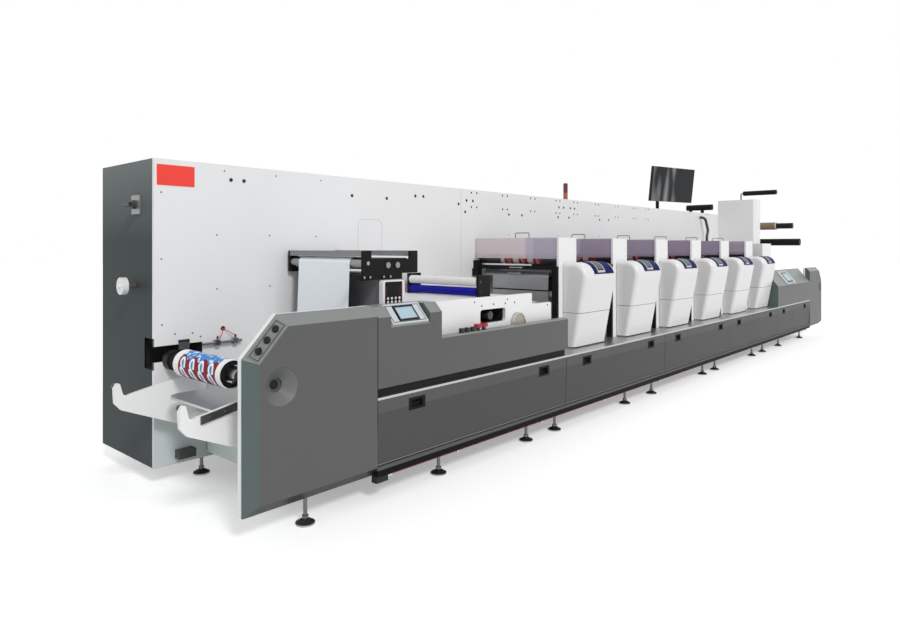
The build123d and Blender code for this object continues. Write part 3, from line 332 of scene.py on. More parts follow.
def end_paint():
    """Dark green-grey end panel with a painted reflection that makes it paler towards its top, and painted
    shade inside its slot notch.
    """
    paint = powder_coat("end_paint", rgb(63, 70, 71), roughness=0.5, coat=0.0, shine=0.06)
    # Painted reflection: the panel grows paler from fade_bottom upwards.
    rise = paint.math("DIVIDE", paint.math("SUBTRACT", paint.z, fade_bottom), fade_height)
    paint.layer(paint.math("MINIMUM", paint.math("MAXIMUM", rise, 0.0), 1.0), rgb(112, 118, 118))
    # Painted shade: near black inside the slot notch.
    notch = paint.box((wall_left, wall_face - skin, notch_bottom - slot_edge),
                      (slot_end, wall_face + slot_depth, notch_top + slot_edge))
    inside = paint.math("GREATER_THAN", paint.x, wall_left + skin)
    paint.layer(paint.both(notch, inside), rgb(16, 16, 17), 0.8)
    dress(paint.done(), "cabinet_end_panel")
    dress(powder_coat("pedestal_paint", rgb(126, 125, 130), coat=0.0, shine=0.12).done(), "splice_pedestal")


tray_line = 1.09
tray_line_half = 0.006


def bright_metal():
    dress(brushed("deck_metal", rgb(196, 198, 199), 0.34, (1, 30, 30)).done(), "base_deck")
    trays = brushed("tray_steel", rgb(176, 177, 178), 0.42, (30, 1, 30))
    seam = trays.band(trays.z, tray_line - tray_line_half, tray_line + tray_line_half)
    trays.layer(seam, rgb(30, 30, 31), 0.5)
    dress(trays.done(), "unit_trays")
    dress(brushed("roller_steel", rgb(168, 169, 171), 0.22, (1, 60, 1)).done(), "splice_guide_roller")


cord_switch_end = 0.521
cord_level = 0.128


def black_metal():
    paint = Paint("black_steel", BLACK, 0.45, mottle=0.15, patch=0.05, shine=0.12)
    paint.grain(300, 0.0002)
    dress(paint.done(), "nip_frame", "rewind_bar", "monitor_stand", "unit_frames", "overhead_roller")
    brackets = Paint("bracket_steel", rgb(40, 40, 41), 0.4, mottle=0.15, patch=0.05, shine=0.2)
    brackets.grain(300, 0.0002)
    eyes = brackets.both(brackets.math("GREATER_THAN", brackets.x, cord_switch_end),
                         brackets.math("LESS_THAN", brackets.z, cord_level + 0.012))
    brackets.layer(eyes, CHROME, 0.25, 1.0)
    dress(brackets.done(), "cord_brackets")


def rubber_and_cord():
    journals = nip_journals()
    white = Paint("white_rubber", rgb(228, 226, 224), 0.45, mottle=0.02)
    white.grain(900, 0.0001)
    white.layer(outside_band(white, journals), rgb(40, 40, 42), 0.4)
    dress(white.done(), "nip_roller_white")
    blue = Paint("blue_rubber", rgb(20, 20, 148), 0.35, mottle=0.08, shine=0.12)
    blue.grain(900, 0.0001)
    blue.layer(outside_band(blue, journals), rgb(40, 40, 42), 0.4)
    dress(blue.done(), "nip_roller_blue")
    cord = Paint("cord_jacket", rgb(206, 40, 28), 0.4, mottle=0.08, patch=0.05)
    cord.grain(500, 0.0002, (8, 1, 1))
    dress(cord.done(), "rescue_cord")


journal_length = 0.0205


def nip_journals():
    """Ends of the rubber on the nip rollers, where their journals begin."""
    low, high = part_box("nip_roller_white")
    return low[1] + journal_length, high[1] - journal_length


def outside_band(paint, ends):
    return paint.math("SUBTRACT", 1.0, paint.band(paint.y, ends[0], ends[1]))


pale_pane_end = 3.05
pale_pane_near = -0.64
pane_alpha = 0.58


def glass():
    """Smoked violet panes of the guards and their bright handles."""
    paint = Paint("smoked_pane", rgb(172, 158, 180), 0.12, mottle=0.04, patch=0.3, shine=0.3)
    first = paint.math("LESS_THAN", paint.x, pale_pane_end)
    paint.layer(first, rgb(196, 188, 206))
    paint.layer(paint.both(first, paint.math("GREATER_THAN", paint.y, pale_pane_near)), rgb(226, 210, 214))
    metal = paint.math("GREATER_THAN", paint.z, guard_top)
    paint.layer(metal, rgb(120, 118, 116), 0.3, 1.0)
    alpha = paint.blend(metal, pane_alpha, 1.0)
    paint.links.new(alpha, paint.shader.inputs["Alpha"])
    dress(paint.done(), *[f"guard_{number}" for number in range(1, unit_count + 1)])


splice_near = -0.885


def steel_frames():
    """Splicing table: black end plates with bright screws, and steel beams between them."""
    low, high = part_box("splice_table")
    plate = 0.0202
    edge = 0.0001
    paint = brushed("splice_metal", rgb(150, 151, 153), 0.26, (1, 40, 1))
    paint.shader.inputs["Specular IOR Level"].default_value = 0.1
    near = paint.band(paint.y, splice_near - edge, splice_near + plate)
    far = paint.math("GREATER_THAN", paint.y, high[1] - plate)
    paint.layer(paint.either(near, far), BLACK, 0.42, 0.0)
    dress(paint.done(), "splice_table")


foot_pad_top = 0.034
foot_rim_top = 0.009


def feet():
    """Steel stems, black pads and a bright rim at the floor."""
    paint = Paint("foot_steel", rgb(112, 112, 114), 0.35, metallic=1.0, mottle=0.1, patch=0.03)
    paint.grain(250, 0.0006, (0.05, 0.05, 1))
    paint.layer(paint.math("LESS_THAN", paint.z, foot_pad_top), rgb(34, 34, 35), 0.35, 0.0)
    paint.layer(paint.math("LESS_THAN", paint.z, foot_rim_top), STEEL, 0.3, 1.0)
    dress(paint.done(), "levelling_feet")


chuck_near = -0.85
chuck_far = -0.79
unwind_end = 1.0


def shafts():
    """Black shafts with a bright chuck at the unwind, and the steel bars of the lift arms."""
    paint = Paint("shaft_steel", rgb(30, 31, 32), 0.4, mottle=0.2, patch=0.04, shine=0.15)
    paint.grain(200, 0.0003)
    chuck = paint.both(paint.band(paint.y, chuck_near, chuck_far),
                       paint.math("LESS_THAN", paint.x, unwind_end))
    paint.layer(chuck, STEEL, 0.25, 1.0)
    dress(paint.done(), "unwind_shaft", "unwind_bearing", "rewind_shaft")
    dress(brushed("arm_steel", rgb(96, 97, 98), 0.35, (1, 20, 20)).done(), "arm_bars")


low_box_top = 0.8
conduit_start = 4.0
valve_cap_bottom = 0.875
valve_end = 0.4


def wall_pieces():
    """Steel valve bar with black caps, and dark covers and conduit."""
    paint = Paint("valve_steel", rgb(150, 151, 153), 0.3, metallic=1.0, mottle=0.1, patch=0.05)
    paint.grain(300, 0.0002)
    covers = paint.either(paint.math("LESS_THAN", paint.z, low_box_top),
                          paint.math("GREATER_THAN", paint.x, conduit_start))
    paint.layer(covers, rgb(58, 59, 60), 0.45, 0.0)
    caps = paint.both(paint.math("GREATER_THAN", paint.z, valve_cap_bottom),
                      paint.math("LESS_THAN", paint.x, valve_end))
    paint.layer(caps, BLACK, 0.4, 0.0)
    dress(paint.done(), "wall_fittings")


window_low = (1.484 - skin, -1.2, 0.929 - skin)
window_high = (1.776 + skin, -0.85, 1.027 + skin)
knob_end = 1.45
knob_back = -1.16
red_knob_start = 1.33
red_cap_bottom = 0.924
gauge_back = -1.15
gauge_centre = (1.916, 0.903)
gauge_dial = 0.07


def web_section():
    """White table with painted shade in the pocket behind its window, and the small fittings on it."""
    table = powder_coat("web_table_paint", WHITE)
    # Painted shade: dark grey inside the window's pocket.
    table.layer(table.box(window_low, window_high), rgb(38, 38, 40), 0.5)
    dress(table.done(), "web_table")

    paint = Paint("gauge_metal", rgb(188, 188, 186), 0.25, metallic=1.0, mottle=0.08, patch=0.03)
    paint.grain(300, 0.0002)
    knobs = paint.both(paint.math("LESS_THAN", paint.x, knob_end),
                       paint.math("LESS_THAN", paint.y, knob_back))
    paint.layer(knobs, BLACK, 0.4, 0.0)
    red = paint.both(knobs, paint.math("GREATER_THAN", paint.x, red_knob_start))
    cap = paint.both(red, paint.math("GREATER_THAN", paint.z, red_cap_bottom))
    paint.layer(cap, rgb(160, 20, 30), 0.35, 0.0)
    dial = paint.both(paint.within(gauge_centre, gauge_dial, paint.x, paint.z),
                      paint.math("LESS_THAN", paint.y, gauge_back))
    paint.layer(dial, rgb(172, 160, 146), 0.3, 0.0)
    drum = paint.math("GREATER_THAN", paint.y, web_plate_face + hole_edge)
    paint.layer(drum, rgb(60, 60, 62), 0.4, 0.0)
    dress(paint.done(), "web_fittings")


def slope_masks(paint, centre, run, rise):
    """Coordinates across and up a sloped panel from its centre."""
    length = math.hypot(run, rise)
    across = paint.math("SUBTRACT", paint.x, centre[0])
    up = paint.math("ADD", paint.math("MULTIPLY", paint.math("SUBTRACT", paint.y, centre[1]), run / length),
                    paint.math("MULTIPLY", paint.math("SUBTRACT", paint.z, centre[2]), rise / length))
    return across, up


def frame_band(paint, across, up, half_width, half_height, line):
    """Mask of a thin rectangular outline."""
    outer = paint.both(paint.band(across, -half_width, half_width), paint.band(up, -half_height, half_height))
    inner = paint.both(paint.band(across, line - half_width, half_width - line),
                       paint.band(up, line - half_height, half_height - line))
    return paint.math("SUBTRACT", outer, inner)


panel_slopes = [(0.692, 1.0, 0.110, 0.122, 1.0), (8.85, 0.903, 0.180, 0.219, 1.6)]
panel_size = (0.300, 0.148)
panel_bezel = (0.176, 0.112)
panel_glass = (0.140, 0.084)
panel_edge = 0.010
panel_groove = 0.012
panel_line = 0.005
panel_reach = 0.5


def panels():
    """Silver operator panels with black outlines, a black bezel and a pale blue screen."""
    paint = Paint("panel_metal", rgb(196, 200, 203), 0.4, mottle=0.03, patch=0.1, shine=0.2)
    paint.grain(400, 0.0001, (1, 30, 30))
    for x, start, run, rise, scale in panel_slopes:
        length = math.hypot(run, rise)
        along = panel_size[1] * scale / 2 + panel_edge
        centre = (x, front_face + along * run / length, start + along * rise / length)
        across, up = slope_masks(paint, centre, run, rise)
        near = paint.band(paint.x, x - panel_reach, x + panel_reach)
        outline = frame_band(paint, across, up, panel_size[0] * scale / 2 - panel_groove,
                             panel_size[1] * scale / 2 - panel_groove, panel_line)
        paint.layer(paint.both(near, outline), BLACK, 0.4)
        half = [side * scale / 2 for side in panel_bezel]
        bezel = paint.both(paint.band(across, -half[0], half[0]), paint.band(up, -half[1], half[1]))
        paint.layer(paint.both(near, bezel), rgb(20, 21, 24), 0.3)
        half = [side * scale / 2 for side in panel_glass]
        glass_pane = paint.both(paint.band(across, -half[0], half[0]), paint.band(up, -half[1], half[1]))
        paint.layer(paint.both(near, glass_pane), rgb(172, 192, 206), 0.3)
    dress(paint.done(), "hmi_panels")


console_offset = 0.066
screen_inset = 0.148
display_inset = 0.052
display_width = 0.130
display_border = 0.010
display_foot = 0.011
glass_foot = 0.030
glass_end = 0.0005
glass_back = 0.022
bar_top = 0.040
console_seam = 0.907
seam_half = 0.0022


def consoles():
    """White moulded consoles with a fine grey groove."""
    white = Paint("console_white", rgb(223, 222, 222), 0.32, coat=0.15, mottle=0.015)
    white.grain(600, 0.00015)
    seam = white.band(white.z, console_seam - seam_half, console_seam + seam_half)
    white.layer(seam, rgb(120, 120, 120), 0.6)
    dress(white.done(), "unit_consoles")


def console_strips():
    """Navy strips of the consoles with a framed grey display."""
    low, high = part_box("console_screens")
    navy = Paint("navy_panel", rgb(22, 28, 82), 0.4, mottle=0.08, patch=0.1, shine=0.03)
    navy.grain(500, 0.0001)
    start = unit_left + console_offset + screen_inset + display_inset
    local = navy.math("MODULO", navy.math("SUBTRACT", navy.x, start), unit_pitch)
    display = navy.both(navy.band(local, 0.0, display_width),
                        navy.math("GREATER_THAN", navy.z, low[2] + display_foot))
    navy.layer(display, rgb(196, 198, 200), 0.35)
    glass_pane = navy.both(navy.band(local, display_border, display_width - display_border),
                           navy.band(navy.z, low[2] + glass_foot, high[2] - glass_end))
    glass_pane = navy.both(glass_pane, navy.math("LESS_THAN", navy.y, high[1] - glass_back))
    navy.layer(glass_pane, rgb(98, 104, 103), 0.25)
    bar = navy.both(glass_pane, navy.math("LESS_THAN", navy.z, low[2] + bar_top))
    navy.layer(bar, rgb(30, 32, 36), 0.3)
    dress(navy.done(), "console_screens")


def web_sheet():
    """White label paper."""
    sheet = Paint("web_paper", rgb(240, 246, 250), 0.5, mottle=0.02, patch=0.2)
    sheet.grain(350, 0.00008)
    dress(sheet.done(), "paper_web")


print_near = -0.725
print_far = -0.295
wave_rate = 52.0
wave_height = 0.18
sky_angles = (1.75, -1.4)
sky_half = 0.62
oval_angles = (2.85, 0.55, -2.7, -0.2)
oval_lean = 0.35
ovals = [(0.030, 0.75, rgb(240, 240, 238)), (0.012, 0.5, rgb(52, 132, 205))]


def printed_roll():
    """Roll with a plain printed motif: red and blue bands with a wavy edge, and rows of ovals."""
    roll = Paint("printed_roll", rgb(240, 240, 238), 0.35, mottle=0.01, patch=0.05, shine=0.1)
    roll.grain(400, 0.00005)
    across = roll.math("SUBTRACT", roll.x, unwind_axis[0])
    above = roll.math("SUBTRACT", roll.z, unwind_axis[1])
    angle = roll.math("ARCTAN2", above, across)
    core = roll.within(unwind_axis, roll_radius - 2 * skin, roll.x, roll.z)
    printed = roll.both(roll.math("SUBTRACT", 1.0, core), roll.band(roll.y, print_near, print_far))
    wave = roll.math("MULTIPLY", roll.math("SINE", roll.math("MULTIPLY", roll.y, wave_rate)), wave_height)
    turn = roll.math("ADD", angle, wave)
    roll.layer(printed, rgb(126, 6, 36), 0.35)
    for middle in sky_angles:
        sky = roll.both(printed, roll.band(turn, middle - sky_half, middle + sky_half))
        roll.layer(sky, rgb(52, 132, 205), 0.3)
        flecks = roll.both(sky, roll.math("GREATER_THAN", roll.noise(38, detail=1.0), 0.58))
        roll.layer(flecks, rgb(226, 236, 242), 0.3)
    pitch = (print_far - print_near) / 4
    step = roll.math("SUBTRACT", roll.math("MODULO", roll.math("SUBTRACT", roll.y, print_near), pitch),
                     pitch / 2)
    for middle in oval_angles:
        up = roll.math("MULTIPLY", roll.math("SUBTRACT", angle, middle), roll_radius)
        side = roll.math("ADD", step, roll.math("MULTIPLY", up, oval_lean))
        for radius, stretch, colour in ovals:
            oval = roll.within((0, 0), radius, side, roll.math("MULTIPLY", up, stretch))
            roll.layer(roll.both(printed, oval), colour, 0.3)
    dress(roll.done(), "unwind_roll")


core_near = -0.725
core_far = -0.165


def rewind_core():
    """Brown board core with paler ends."""
    core = Paint("core_board", rgb(136, 110, 84), 0.7, mottle=0.1, patch=0.02)
    core.grain(300, 0.0003)
    rim = core.either(core.math("LESS_THAN", core.y, core_near), core.math("GREATER_THAN", core.y, core_far))
    core.layer(rim, rgb(206, 194, 176), 0.7)
    dress(core.done(), "rewind_core")


web_roller_drop = 0.062
band_near = -0.78
band_far = -0.33
band_pitch = 0.16
band_blank = (0.09, 0.15)
band_marks = (0.02, 0.06)


def print_rollers():
    """Steel cylinders of the units, and the dark web roller that carries a band of print."""
    paint = brushed("unit_steel", rgb(120, 121, 123), 0.25, (1, 60, 1))
    top = paint.math("GREATER_THAN", paint.z, guard_bottom - web_roller_drop)
    paint.layer(top, rgb(52, 54, 62), 0.35, 0.0)
    strip = paint.both(top, paint.band(paint.y, band_near, band_far))
    paint.layer(strip, rgb(150, 34, 46), 0.35, 0.0)
    along = paint.math("MODULO", paint.math("SUBTRACT", paint.y, band_near), band_pitch)
    paint.layer(paint.both(strip, paint.band(along, *band_blank)), rgb(212, 206, 202), 0.35, 0.0)
    inner = paint.both(strip, paint.band(along, *band_marks))
    flecks = paint.both(inner, paint.math("GREATER_THAN", paint.noise(60), 0.55))
    paint.layer(flecks, rgb(220, 200, 198), 0.35, 0.0)
    dress(paint.done(), "unit_rollers")


def monitor_face():
    """Black monitor with tall soft reflections on its face only."""
    paint = Paint("monitor_gloss", rgb(30, 32, 34), 0.2, mottle=0.1, shine=0.2)
    streak = paint.noise(5.0, (1, 1, 0.08), detail=1.0)
    pale = paint.math("MULTIPLY", paint.math("MAXIMUM", paint.math("SUBTRACT", streak, 0.5), 0.0), 3.6)
    pale = paint.both(pale, paint.facing(1, -0.8))
    paint.layer(pale, rgb(200, 204, 206))
    dress(paint.done(), "monitor")


signal_axis = (4.65, 0.15)
signal_lens_radius = 0.0255


def signal_lenses():
    """Red lens over an amber one, with dark rings."""
    paint = Paint("signal_lens", rgb(96, 26, 24), 0.25, coat=0.3, mottle=0.06, patch=0.05)
    paint.grain(200, 0.0003, (1, 1, 6))
    low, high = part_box("signal_tower")
    middle = (low[2] + high[2]) / 2
    paint.layer(paint.math("LESS_THAN", paint.z, middle), rgb(158, 84, 40), 0.25)
    core = paint.within(signal_axis, signal_lens_radius, paint.x, paint.y)
    paint.layer(core, rgb(40, 24, 24), 0.4)
    dress(paint.done(), "signal_tower")


control_rim = (0.0205, 0.0105)
control_depth = 0.006
display_side = 0.045
display_low = 0.066
display_high = 0.030
strip_place = 0.036
strip_half = 0.009
strip_low = 0.070
strip_high = 0.040


def controller():
    """White controller with a black face, a darker display and a red strip at either side."""
    low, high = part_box("tension_controller")
    paint = Paint("controller_plastic", rgb(234, 232, 230), 0.4, mottle=0.02, patch=0.1, shine=0.1)
    paint.grain(500, 0.0001)
    front = low[1]
    back = front + control_depth
    face = paint.box((low[0] + control_rim[0], front + 0.0005, low[2] + control_rim[1]),
                     (high[0] - control_rim[0], back, high[2] - control_rim[1]))
    paint.layer(face, rgb(26, 22, 24), 0.3)
    shown = paint.box((low[0] + display_side, front, low[2] + display_low),
                      (high[0] - display_side, back, high[2] - display_high))
    paint.layer(shown, rgb(26, 29, 29), 0.3)
    for x in (low[0] + strip_place, high[0] - strip_place):
        strip = paint.box((x - strip_half, front, low[2] + strip_low),
                          (x + strip_half, back, high[2] - strip_high))
        paint.layer(strip, rgb(70, 26, 36), 0.3)
    dress(paint.done(), "tension_controller")


button_plate_shape = (0.238, 0.066)
button_margin = 0.006
button_line = 0.004
button_pitch = 0.07
button_cap = 0.0172
unwind_slope = (-0.2829, -1.2113, 1.0061)


def push_buttons():
    """Grey plate with a black outline and three black buttons."""
    paint = Paint("button_plate", rgb(124, 125, 125), 0.35, mottle=0.04, patch=0.05, shine=0.15)
    paint.grain(400, 0.0001)
    across, up = slope_masks_end(paint, unwind_slope)
    half = [side / 2 - button_margin for side in button_plate_shape]
    paint.layer(frame_band(paint, up, across, half[0], half[1], button_line), BLACK, 0.4, 0.0)
    for place in (-button_pitch, 0.0, button_pitch):
        cap = paint.within((place, 0.0), button_cap, up, across)
        paint.layer(cap, rgb(20, 20, 21), 0.35, 0.0)
    dress(paint.done(), "unwind_buttons")


knob_stem = 0.0595
switch_grip = 0.05
switch_plate_bottom = 1.5


def end_pieces():
    """White hand knob on a brown stem, grey switch plate and dark switch."""
    paint = Paint("end_fittings", rgb(228, 228, 227), 0.35, mottle=0.03, patch=0.1)
    paint.grain(300, 0.0002)
    paint.layer(paint.math("GREATER_THAN", paint.z, switch_plate_bottom), rgb(150, 151, 150), 0.35, 0.5)
    stem = paint.both(paint.math("LESS_THAN", paint.z, switch_plate_bottom),
                      paint.math("GREATER_THAN", paint.x, wall_left - knob_stem))
    paint.layer(stem, rgb(96, 90, 80), 0.45, 0.3)
    dress(paint.done(), "end_panel_fittings")
    handle = Paint("switch_handle", rgb(60, 61, 62), 0.4, mottle=0.1, patch=0.05)
    handle.grain(300, 0.0002)
    handle.layer(handle.math("LESS_THAN", handle.x, wall_left - switch_grip), rgb(34, 34, 35), 0.35)
    dress(handle.done(), "main_switch")


def slope_masks_end(paint, middle):
    """Coordinates over and along the sloping corner of the unwind cover."""
    run = 0.196
    rise = 0.208
    length = math.hypot(run, rise)
    up = paint.math("ADD", paint.math("MULTIPLY", paint.math("SUBTRACT", paint.x, middle[0]), run / length),
                    paint.math("MULTIPLY", paint.math("SUBTRACT", paint.z, middle[2]), rise / length))
    tilt = math.sqrt(0.5)
    fall_x = -rise / length
    fall_z = run / length
    away = paint.math("ADD", paint.math("MULTIPLY", paint.math("SUBTRACT", paint.x, middle[0]), fall_x),
                      paint.math("MULTIPLY", paint.math("SUBTRACT", paint.z, middle[2]), fall_z))
    over = paint.math("SUBTRACT", paint.y, middle[1])
    across = paint.math("MULTIPLY", paint.math("ADD", away, over), tilt)
    return across, up


# Added pieces

def add_piece(name, mesh, material, body):
    piece = bpy.data.objects.new(name, mesh)
    bpy.context.collection.objects.link(piece)
    mesh.materials.append(material)
    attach(piece, body)
    return piece


def slab(name, low, high, edge, material, body):
    """Plate between two corners with its edges rounded."""
    mesh = bpy.data.meshes.new(name)
    shape = bmesh.new()
    bmesh.ops.create_cube(shape, size=1.0)
    size = [top - bottom for bottom, top in zip(low, high)]
    middle = [(bottom + top) / 2 for bottom, top in zip(low, high)]
    bmesh.ops.scale(shape, vec=size, verts=shape.verts)
    bmesh.ops.translate(shape, vec=middle, verts=shape.verts)
    bmesh.ops.bevel(shape, geom=shape.edges, offset=edge, segments=2, profile=0.5, affect="EDGES")
    shape.to_mesh(mesh)
    shape.free()
    return add_piece(name, mesh, material, body)


def turned(name, profile, places, direction, material, body, sides=20):
    """Turned pieces of one profile of (radius, height) points, one at each place, facing one way."""
    mesh = bpy.data.meshes.new(name)
    shape = bmesh.new()
    turn = Vector(direction).to_track_quat("Z", "Y").to_matrix()
    for place in places:
        rings = []
        for radius, height in profile:
            ring = []
            for step in range(sides):
                angle = 2 * math.pi * step / sides
                point = turn @ Vector((radius * math.cos(angle), radius * math.sin(angle), height))
                ring.append(shape.verts.new(point + Vector(place)))
            rings.append(ring)
        for low, high in zip(rings, rings[1:]):
            for step in range(sides):
                after = (step + 1) % sides
                shape.faces.new((low[step], low[after], high[after], high[step]))
        shape.faces.new(rings[-1])
        shape.faces.new(list(reversed(rings[0])))
    shape.to_mesh(mesh)
    shape.free()
    return add_piece(name, mesh, material, body)


def ring(name, inner, outer, height, places, direction, material, body, slot, sides=14):
    """Flat rings, one at each place, that leave the hole inside them open."""
    mesh = bpy.data.meshes.new(name)
    shape = bmesh.new()
    turn = Vector(direction).to_track_quat("Z", "Y").to_matrix()
    for place in places:
        rows = []
        for radius, level in ((inner, 0.0), (inner, height), (outer, height), (outer, 0.0)):
            row = []
            for step in range(sides):
                angle = 2 * math.pi * step / sides
                point = turn @ Vector((radius * math.cos(angle), radius * math.sin(angle), level))
                row.append(shape.verts.new(point + Vector(place)))
            rows.append(row)
        for low, high in zip(rows, rows[1:] + rows[:1]):
            for step in range(sides):
                after = (step + 1) % sides
                shape.faces.new((low[step], high[step], high[after], low[after]))
    bmesh.ops.recalc_face_normals(shape, faces=shape.faces)
    shape.to_mesh(mesh)
    shape.free()
    return add_piece(name, mesh, material, body)


def small_material(name, colour, roughness, metallic=0.0):
    paint = Paint(name, colour, roughness, metallic=metallic, mottle=0.08, patch=0.01)
    paint.grain(900, 0.0001)
    return paint.done()


plate_limits = (-0.318, -0.069, 1.849, 1.985)


def red_plate():
    border = small_material("plate_border", rgb(240, 214, 210), 0.4)
    red = Paint("plate_red", rgb(238, 56, 40), 0.4, coat=0.2, mottle=0.05, patch=0.15)
    red.grain(700, 0.00008)
    left, right, bottom, top = plate_limits
    lip = 0.004
    slab("plate_edge", (left, wall_face - 0.001, bottom), (right, wall_face + 0.0005, top), 0.0004, border,
         "press")
    slab("red_plate", (left + lip, wall_face - 0.002, bottom + lip),
         (right - lip, wall_face - 0.0005, top - lip), 0.0004, red.done(), "press")


wall_holes = [(0.182, 1.919), (0.278, 1.919), (1.217, 1.875), (1.585, 1.874), (1.919, 1.913), (2.017, 1.914),
              (2.486, 1.872), (2.599, 1.910), (2.692, 1.910), (2.579, 1.802), (3.261, 1.802), (3.487, 1.803),
              (4.191, 1.917), (4.291, 1.918), (4.430, 1.918), (4.523, 1.918), (4.400, 1.808), (4.176, 1.807),
              (5.102, 1.807), (5.335, 1.812)]
wall_screws = [(-0.287, 1.809), (-0.285, 1.398), (-0.281, 0.993), (0.134, 1.975), (0.528, 1.973),
               (0.916, 1.970), (0.080, 1.551), (0.476, 1.552), (0.873, 1.551), (0.082, 1.198), (0.480, 1.199),
               (-0.200, 0.929), (-0.086, 0.925), (-0.032, 0.897), (3.261, 1.600), (4.173, 1.603),
               (5.103, 1.608)]
station_centres = [2.710, 3.195, 3.682, 4.172, 4.546, 5.040, 5.540, 6.035, 6.416]
station_half_width = 0.040
rim_width = 0.0035
rim_height = 0.0006
screw_radius = 0.006
screw_height = 0.002


def screw_profile(radius, height):
    """Round head with a sunk drive, as radius and height pairs."""
    return [(radius, 0.0), (radius, height * 0.6), (radius * 0.8, height), (radius * 0.4, height),
            (radius * 0.35, height * 0.5), (radius * 0.1, height * 0.5)]


def plugs():
    """Dark hole plugs, the dark edges of the station holes and small screws on the wall."""
    black = small_material("plug_black", rgb(20, 20, 22), 0.5)
    profile = [(0.0135, -0.0005), (0.0135, 0.0006), (0.011, 0.0012), (0.010, 0.0006), (0.003, 0.0004)]
    turned("wall_plugs", profile, [(x, wall_face, z) for x, z in wall_holes], (0, -1, 0), black, "press",
           sides=16)
    rows = (station_hole_height - station_hole_rise, station_hole_height + station_hole_rise)
    places = [(x + side, wall_face, z) for x in station_centres for z in rows
              for side in (-station_half_width, station_half_width)]
    ring("station_rims", station_hole_radius, station_hole_radius + rim_width, rim_height, places, (0, -1, 0),
         black, "press", "black_steel")
    grey = small_material("wall_screw", rgb(110, 110, 110), 0.4, 0.4)
    places = [(x, wall_face, z) for x, z in wall_screws]
    turned("wall_screws", screw_profile(screw_radius, 0.0012), places, (0, -1, 0), grey, "press",
           sides=10)


def tube(name, points, radius, material, body):
    """Round tube through points, as a curve turned into a mesh."""
    curve = bpy.data.curves.new(name, "CURVE")
    curve.dimensions = "3D"
    curve.bevel_depth = radius
    curve.bevel_resolution = 3
    line = curve.splines.new("BEZIER")
    line.bezier_points.add(len(points) - 1)
    for knot, point in zip(line.bezier_points, points):
        knot.co = point
        knot.handle_left_type = "AUTO"
        knot.handle_right_type = "AUTO"
    holder = bpy.data.objects.new(name, curve)
    mesh = bpy.data.meshes.new_from_object(holder)
    bpy.data.objects.remove(holder)
    return add_piece(name, mesh, material, body)


grommet = (0.123, 0.936)
valve_ends = [(0.085, 0.874), (0.205, 0.880)]


def air_tubes():
    """Black grommet in the wall with two thin red air tubes to the valves."""
    black = small_material("grommet_black", rgb(20, 20, 21), 0.5)
    turned("air_grommet", [(0.015, 0.0), (0.015, 0.003), (0.012, 0.005), (0.004, 0.004)],
           [(grommet[0], wall_face, grommet[1])], (0, -1, 0), black, "press")
    red = small_material("tube_red", rgb(214, 44, 48), 0.35)
    for number, (x, z) in enumerate(valve_ends, start=1):
        middle = ((x + grommet[0]) / 2, wall_face - 0.022, (z + grommet[1]) / 2)
        points = [(grommet[0], wall_face - 0.003, grommet[1]), middle, (x, wall_face - 0.018, z)]
        tube(f"air_tube_{number}", points, 0.0026, red, "press")


cord_line = -1.2
eyelet_places = [1.150, 2.130, 3.100, 4.230, 5.150, 6.300, 7.100, 8.200, 9.800]


def cord_eyes():
    """Chrome collars on the eyelets, and the spring barrel of the pull switch."""
    chrome = small_material("collar_chrome", rgb(206, 207, 209), 0.25, 1.0)
    profile = [(0.0095, 0.0), (0.014, 0.003), (0.015, 0.008), (0.014, 0.013), (0.0095, 0.016)]
    turned("eyelet_collars", profile, [(x - 0.002, cord_line, cord_level) for x in eyelet_places], (1, 0, 0),
           chrome, "press", sides=16)
    barrel = [(0.013, 0.0), (0.013, 0.022), (0.009, 0.026), (0.009, 0.032), (0.011, 0.036), (0.011, 0.046),
              (0.004, 0.056)]
    turned("switch_barrel", barrel, [(cord_switch_end - 0.002, cord_line, cord_level)], (1, 0, 0), chrome,
           "press", sides=16)


pane_margin = 0.018
web_screw_drop = 0.03
web_screw_steps = (0.03, 0.42, 0.8)
base_plate_low = (0.007, -1.08, 0.27)
base_plate_high = (0.011, -0.9, 0.40)


def plate_screws(dark):
    """Dark screw heads along the top of the web section's plate."""
    low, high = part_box("web_side_plate")
    places = [(low[0] + step, low[1], high[2] - web_screw_drop) for step in web_screw_steps]
    turned("web_plate_screws", screw_profile(screw_radius, screw_height), places, (0, -1, 0), dark,
           "press", sides=10)


def pane_screws():
    """Four steel screw heads on each pane, riding with it."""
    steel = small_material("screw_steel", rgb(150, 150, 152), 0.3, 1.0)
    for number in range(1, unit_count + 1):
        low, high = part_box(f"guard_{number}")
        places = [(low[0], y, z) for y in (low[1] + pane_margin, high[1] - pane_margin)
                  for z in (guard_bottom + pane_margin, guard_top - pane_margin)]
        turned(f"pane_screws_{number}", screw_profile(screw_radius, screw_height), places, (-1, 0, 0), steel,
               f"guard_{number}_frame", sides=10)


def base_end_plate(dark):
    """Small zinc plate on the base's end with one dark screw in its middle."""
    zinc = small_material("plate_zinc", rgb(196, 204, 202), 0.35, 0.6)
    slab("base_plate", base_plate_low, base_plate_high, 0.0008, zinc, "press")
    middle = [(low + high) / 2 for low, high in zip(base_plate_low, base_plate_high)]
    place = (base_plate_low[0], middle[1], middle[2])
    turned("base_plate_screw", screw_profile(0.013, 0.008), [place], (-1, 0, 0), dark, "press",
           sides=14)


# Camera, floor and light

def make_camera():
    data = bpy.data.cameras.new("camera")
    data.sensor_width = 36.0
    data.lens = 26.30
    data.shift_y = -0.0814
    data.clip_end = 200
    camera = bpy.data.objects.new("camera", data)
    camera.location = (-2.1033, -4.0664, 1.4705)
    camera.rotation_euler = (math.radians(90), 0, math.radians(-48.057))
    bpy.context.collection.objects.link(camera)
    bpy.context.scene.camera = camera


